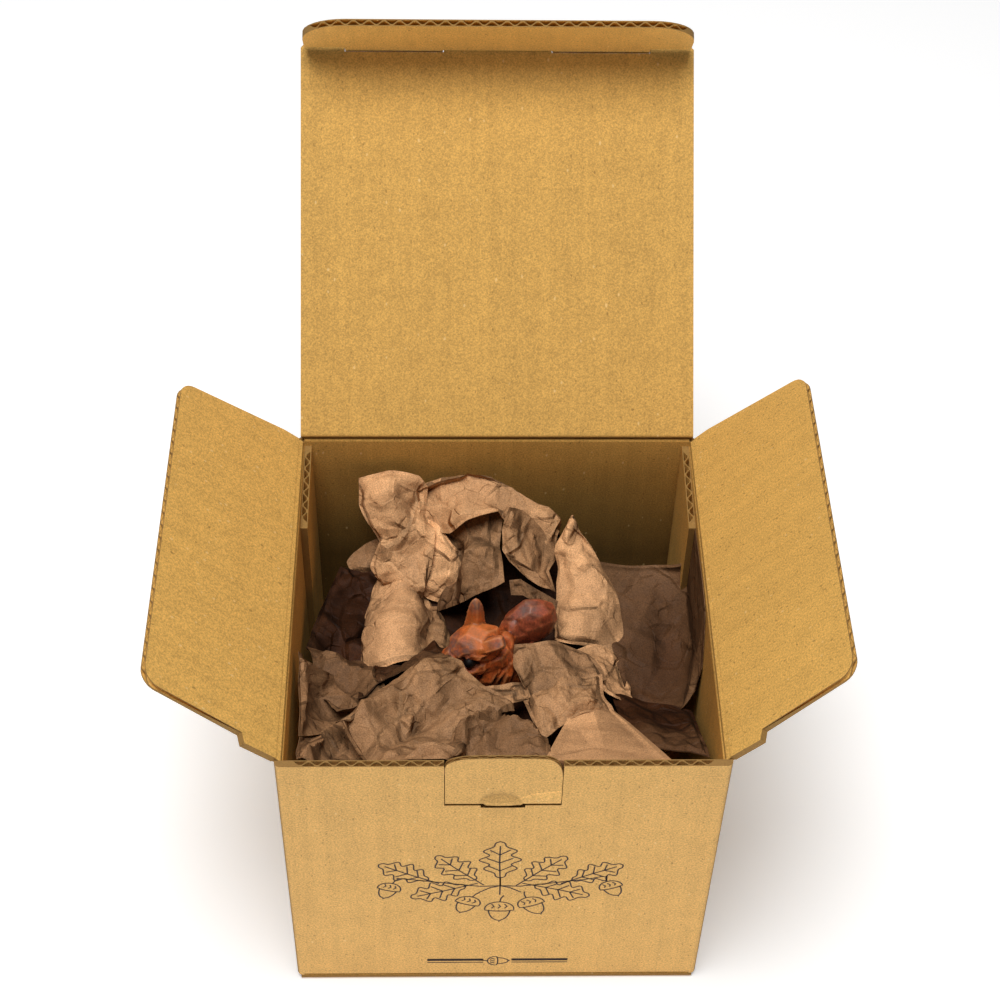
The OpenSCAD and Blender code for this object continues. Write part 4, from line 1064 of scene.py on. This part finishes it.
class SQUIRREL_OT_carving(bpy.types.Operator):
    """Carve and stain the squirrel"""
    bl_idname = "squirrel.carving"
    bl_label = "Squirrel"

    def execute(self, context):
        own = context.scene.squirrel
        verts, faces = as_one([cut_lump(*lump) for lump in LUMPS] + [ear(*shape) for shape in EARS])
        centre = Vector((0, 0, BOX_TOP))
        rough = mesh_piece("squirrel_carved", [Vector(v) * MM + centre for v in verts], faces,
                           "box_cover")
        remesh = rough.modifiers.new("join", "REMESH")
        remesh.mode = "VOXEL"
        remesh.voxel_size = 0.42 * MM
        depsgraph = context.evaluated_depsgraph_get()
        joined = bpy.data.meshes.new_from_object(rough.evaluated_get(depsgraph))
        rough.modifiers.clear()
        rough.data = joined
        mesh = bmesh.new()
        mesh.from_mesh(joined)
        mesh.normal_update()
        at = (np.array([tuple(v.co) for v in mesh.verts]) - np.array(centre)) / MM
        normal = np.array([tuple(v.normal) for v in mesh.verts])
        groove = np.zeros(len(at))
        for line, width, depth in GROOVES:
            share = np.clip(1 - near_line(at, line) / (width * 2.2), 0, 1)
            # a knife groove, sunk deepest along its line and the same on both sides
            at = at - normal * (share ** 1.3 * depth)[:, None]
            groove = np.maximum(groove, share)
        for eye in EYES:
            away = np.linalg.norm(at - np.array(eye), axis=1)
            share = np.clip(1.25 - away / 4, 0, 1)
            at = at - normal * (share * 2.4)[:, None]
            groove = np.maximum(groove, share)
        # the foot is planed flat
        at[:, 2] = np.maximum(at[:, 2], 0.15)
        for v, p in zip(mesh.verts, at):
            v.co = Vector(p) * MM + centre
        mesh.normal_update()
        # bright edges, part bare wood and part painted highlight, and painted shade in the hollows, from
        # each point's place against its neighbours'
        sharp = np.zeros(len(at))
        for v in mesh.verts:
            ring = [e.other_vert(v).co for e in v.link_edges]
            sharp[v.index] = (v.co - sum(ring, Vector()) / len(ring)).dot(v.normal) / MM
        wide = sharp.copy()
        for _ in range(2):
            wide = np.array([(wide[v.index] + sum(wide[e.other_vert(v).index] for e in v.link_edges))
                             / (1 + len(v.link_edges)) for v in mesh.verts])
        scale = 0.032
        edge = np.clip(wide / scale - 0.12, 0, 1)
        hollow = np.clip(np.maximum(-0.7 * wide / scale - 0.15, groove * 1.3), 0, 1)
        x, y, z = at.T
        tail = np.clip((x - 1 + (y - 8) * 0.9) / 2.5, 0, 1) * (y > 4)
        grey = np.clip((z - 42.5) / 4, 0, 1) * (x < -4)
        for px, py, pz, r in GREY_PATCHES:
            d = np.sqrt((x - px) ** 2 + (y - py) ** 2 + (z - pz) ** 2)
            grey = np.maximum(grey, 0.9 * np.clip(1.5 * (1 - d / r), 0, 1))
        # painted light on the top of the head, between the ears
        glow = np.clip(1.3 - np.abs(z - 39) / 6, 0, 1) * np.clip(1.3 - np.abs(x + 9) / 7, 0, 1)
        mesh.to_mesh(joined)
        mesh.free()
        joined.polygons.foreach_set("use_smooth", [True] * len(joined.polygons))
        write_values(joined, edge=edge, hollow=hollow, tail=tail, grey=grey, glow=glow)
        set_material(rough, finish(
            "stained_wood", knife_wood_group, (0.5, 0.0006),
            attributes=("Edge", "Hollow", "Tail", "Grey", "Glow"),
            gloss={"Coat_Weight": 0.2, "Coat_Roughness": 0.35}, Color=own.stain, Tail_Color=own.tail))
        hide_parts("squirrel")
        bead = finish("black_bead", knife_wood_group, (0.2, 0.0002), gloss={"Specular_IOR_Level": 0.15},
                      Color=own.bead)
        for node in ("left_eye", "right_eye"):
            set_material(frame["nodes"][node], bead)
        return {"FINISHED"}


# Round box under the paper

class BOX_OT_round(bpy.types.Operator):
    """Finish the round box, its fixings and the wad under it"""
    bl_idname = "box.round"
    bl_label = "Round Box"

    def execute(self, context):
        own = context.scene.box
        for node in ("box_wall", "box_base", "box_lid"):
            set_material(frame["nodes"][node], finish("paint_" + node, painted_sheet_group, (0.2, 0.0002),
                                                      Color=own.paint))
        zinc = finish("zinc_plate", painted_sheet_group, (0.1, 0.0001), gloss={"Metallic": 1},
                      Color=own.zinc)
        for node in ("knob_screw", "knob_washer"):
            set_material(frame["nodes"][node], zinc)
        paper = context.scene.paper
        # the wad under the box is darkened as painted shade
        set_material(frame["nodes"]["paper_pad"], finish(
            "paper_wad", wrapping_group, (0.75, 0.0055), Color=paper.colour, Deep_Color=paper.deep,
            Deep=0.3))
        return {"FINISHED"}


# Stage: half the floor's width, and the camera's place and directions, in metres
FLOOR_HALF = 6
CAMERA_AT = (-0.02003, -0.5035, 0.77156)
CAMERA_VIEW = (0.025, 0.6699, -0.742)
CAMERA_UP = (-0.0006, 0.7423, 0.6701)


class STAGE_OT_studio(bpy.types.Operator):
    """Set the pale floor, the soft light and the camera"""
    bl_idname = "stage.studio"
    bl_label = "Studio"

    def execute(self, context):
        own = context.scene.stage
        scene = context.scene
        scene.view_settings.view_transform = "Standard"
        corners = [(x * FLOOR_HALF, y * FLOOR_HALF, 0) for x, y in ((-1, -1), (1, -1), (1, 1), (-1, 1))]
        floor = mesh_piece("floor", corners, [(0, 1, 2, 3)], None, smooth=False)
        material = bpy.data.materials.new("floor")
        material.use_nodes = True
        shader = material.node_tree.nodes["Principled BSDF"]
        for title, value in (("Base Color", own.floor), ("Roughness", 0.9),
                             ("Emission Color", (1, 1, 1, 1)), ("Emission Strength", own.glow)):
            shader.inputs[title].default_value = value
        set_material(floor, material)
        world = bpy.data.worlds.new("soft_sky")
        world.use_nodes = True
        sky = world.node_tree.nodes["Background"].inputs
        sky["Color"].default_value = (1, 1, 1, 1)
        sky["Strength"].default_value = own.sky
        scene.world = world
        for name, at, aim, size, power in (
                ("top_lamp", (-0.15, -0.22, 2.1), (0, 0, 0.1), 1.2, own.lamp),
                ("front_lamp", (0, -1.6, 0.12), (0, 0, 0.04), 0.5, own.fill)):
            light = bpy.data.lights.new(name, "AREA")
            light.shape = "DISK"
            light.size = size
            light.energy = power
            lamp = bpy.data.objects.new(name, light)
            lamp.location = at
            lamp.rotation_euler = (Vector(aim) - lamp.location).to_track_quat("-Z", "Y").to_euler()
            scene.collection.objects.link(lamp)
        data = bpy.data.cameras.new("camera")
        data.lens = own.lens
        data.sensor_width = 36
        data.clip_start = 0.01
        camera = bpy.data.objects.new("camera", data)
        view = Vector(CAMERA_VIEW).normalized()
        right = view.cross(Vector(CAMERA_UP)).normalized()
        up = right.cross(view)
        camera.matrix_world = Matrix.Translation(CAMERA_AT) @ Matrix(
            (right, up, -view)).transposed().to_4x4()
        scene.collection.objects.link(camera)
        scene.camera = camera
        return {"FINISHED"}


class CARTON_PT_panel(bpy.types.Panel):
    """Buttons for the steps that dress the carton, its paper, the squirrel, the box and the stage"""
    bl_idname = "CARTON_PT_panel"
    bl_label = "Gift Carton"
    bl_space_type = "VIEW_3D"
    bl_region_type = "UI"
    bl_category = "Carton"

    def draw(self, context):
        column = self.layout.column(align=True)
        for operator in OPERATORS:
            column.operator(operator.bl_idname)


SETTINGS = {"carton": CartonSettings, "paper": PaperSettings, "squirrel": SquirrelSettings,
            "box": BoxSettings, "stage": StageSettings}
OPERATORS = (STAGE_OT_studio, CARTON_OT_boards, CARTON_OT_print, PAPER_OT_wrapping, SQUIRREL_OT_carving,
             BOX_OT_round)


def register():
    for cls in (*SETTINGS.values(), *OPERATORS, CARTON_PT_panel):
        bpy.utils.register_class(cls)
    for name, cls in SETTINGS.items():
        setattr(bpy.types.Scene, name, PointerProperty(type=cls))


def unregister():
    for name in SETTINGS:
        delattr(bpy.types.Scene, name)
    for cls in reversed((*SETTINGS.values(), *OPERATORS, CARTON_PT_panel)):
        bpy.utils.unregister_class(cls)


def main():
    register()
    for operator in OPERATORS:
        family, name = operator.bl_idname.split(".")
        getattr(getattr(bpy.ops, family), name)()


if __name__ == "__main__":
    main()
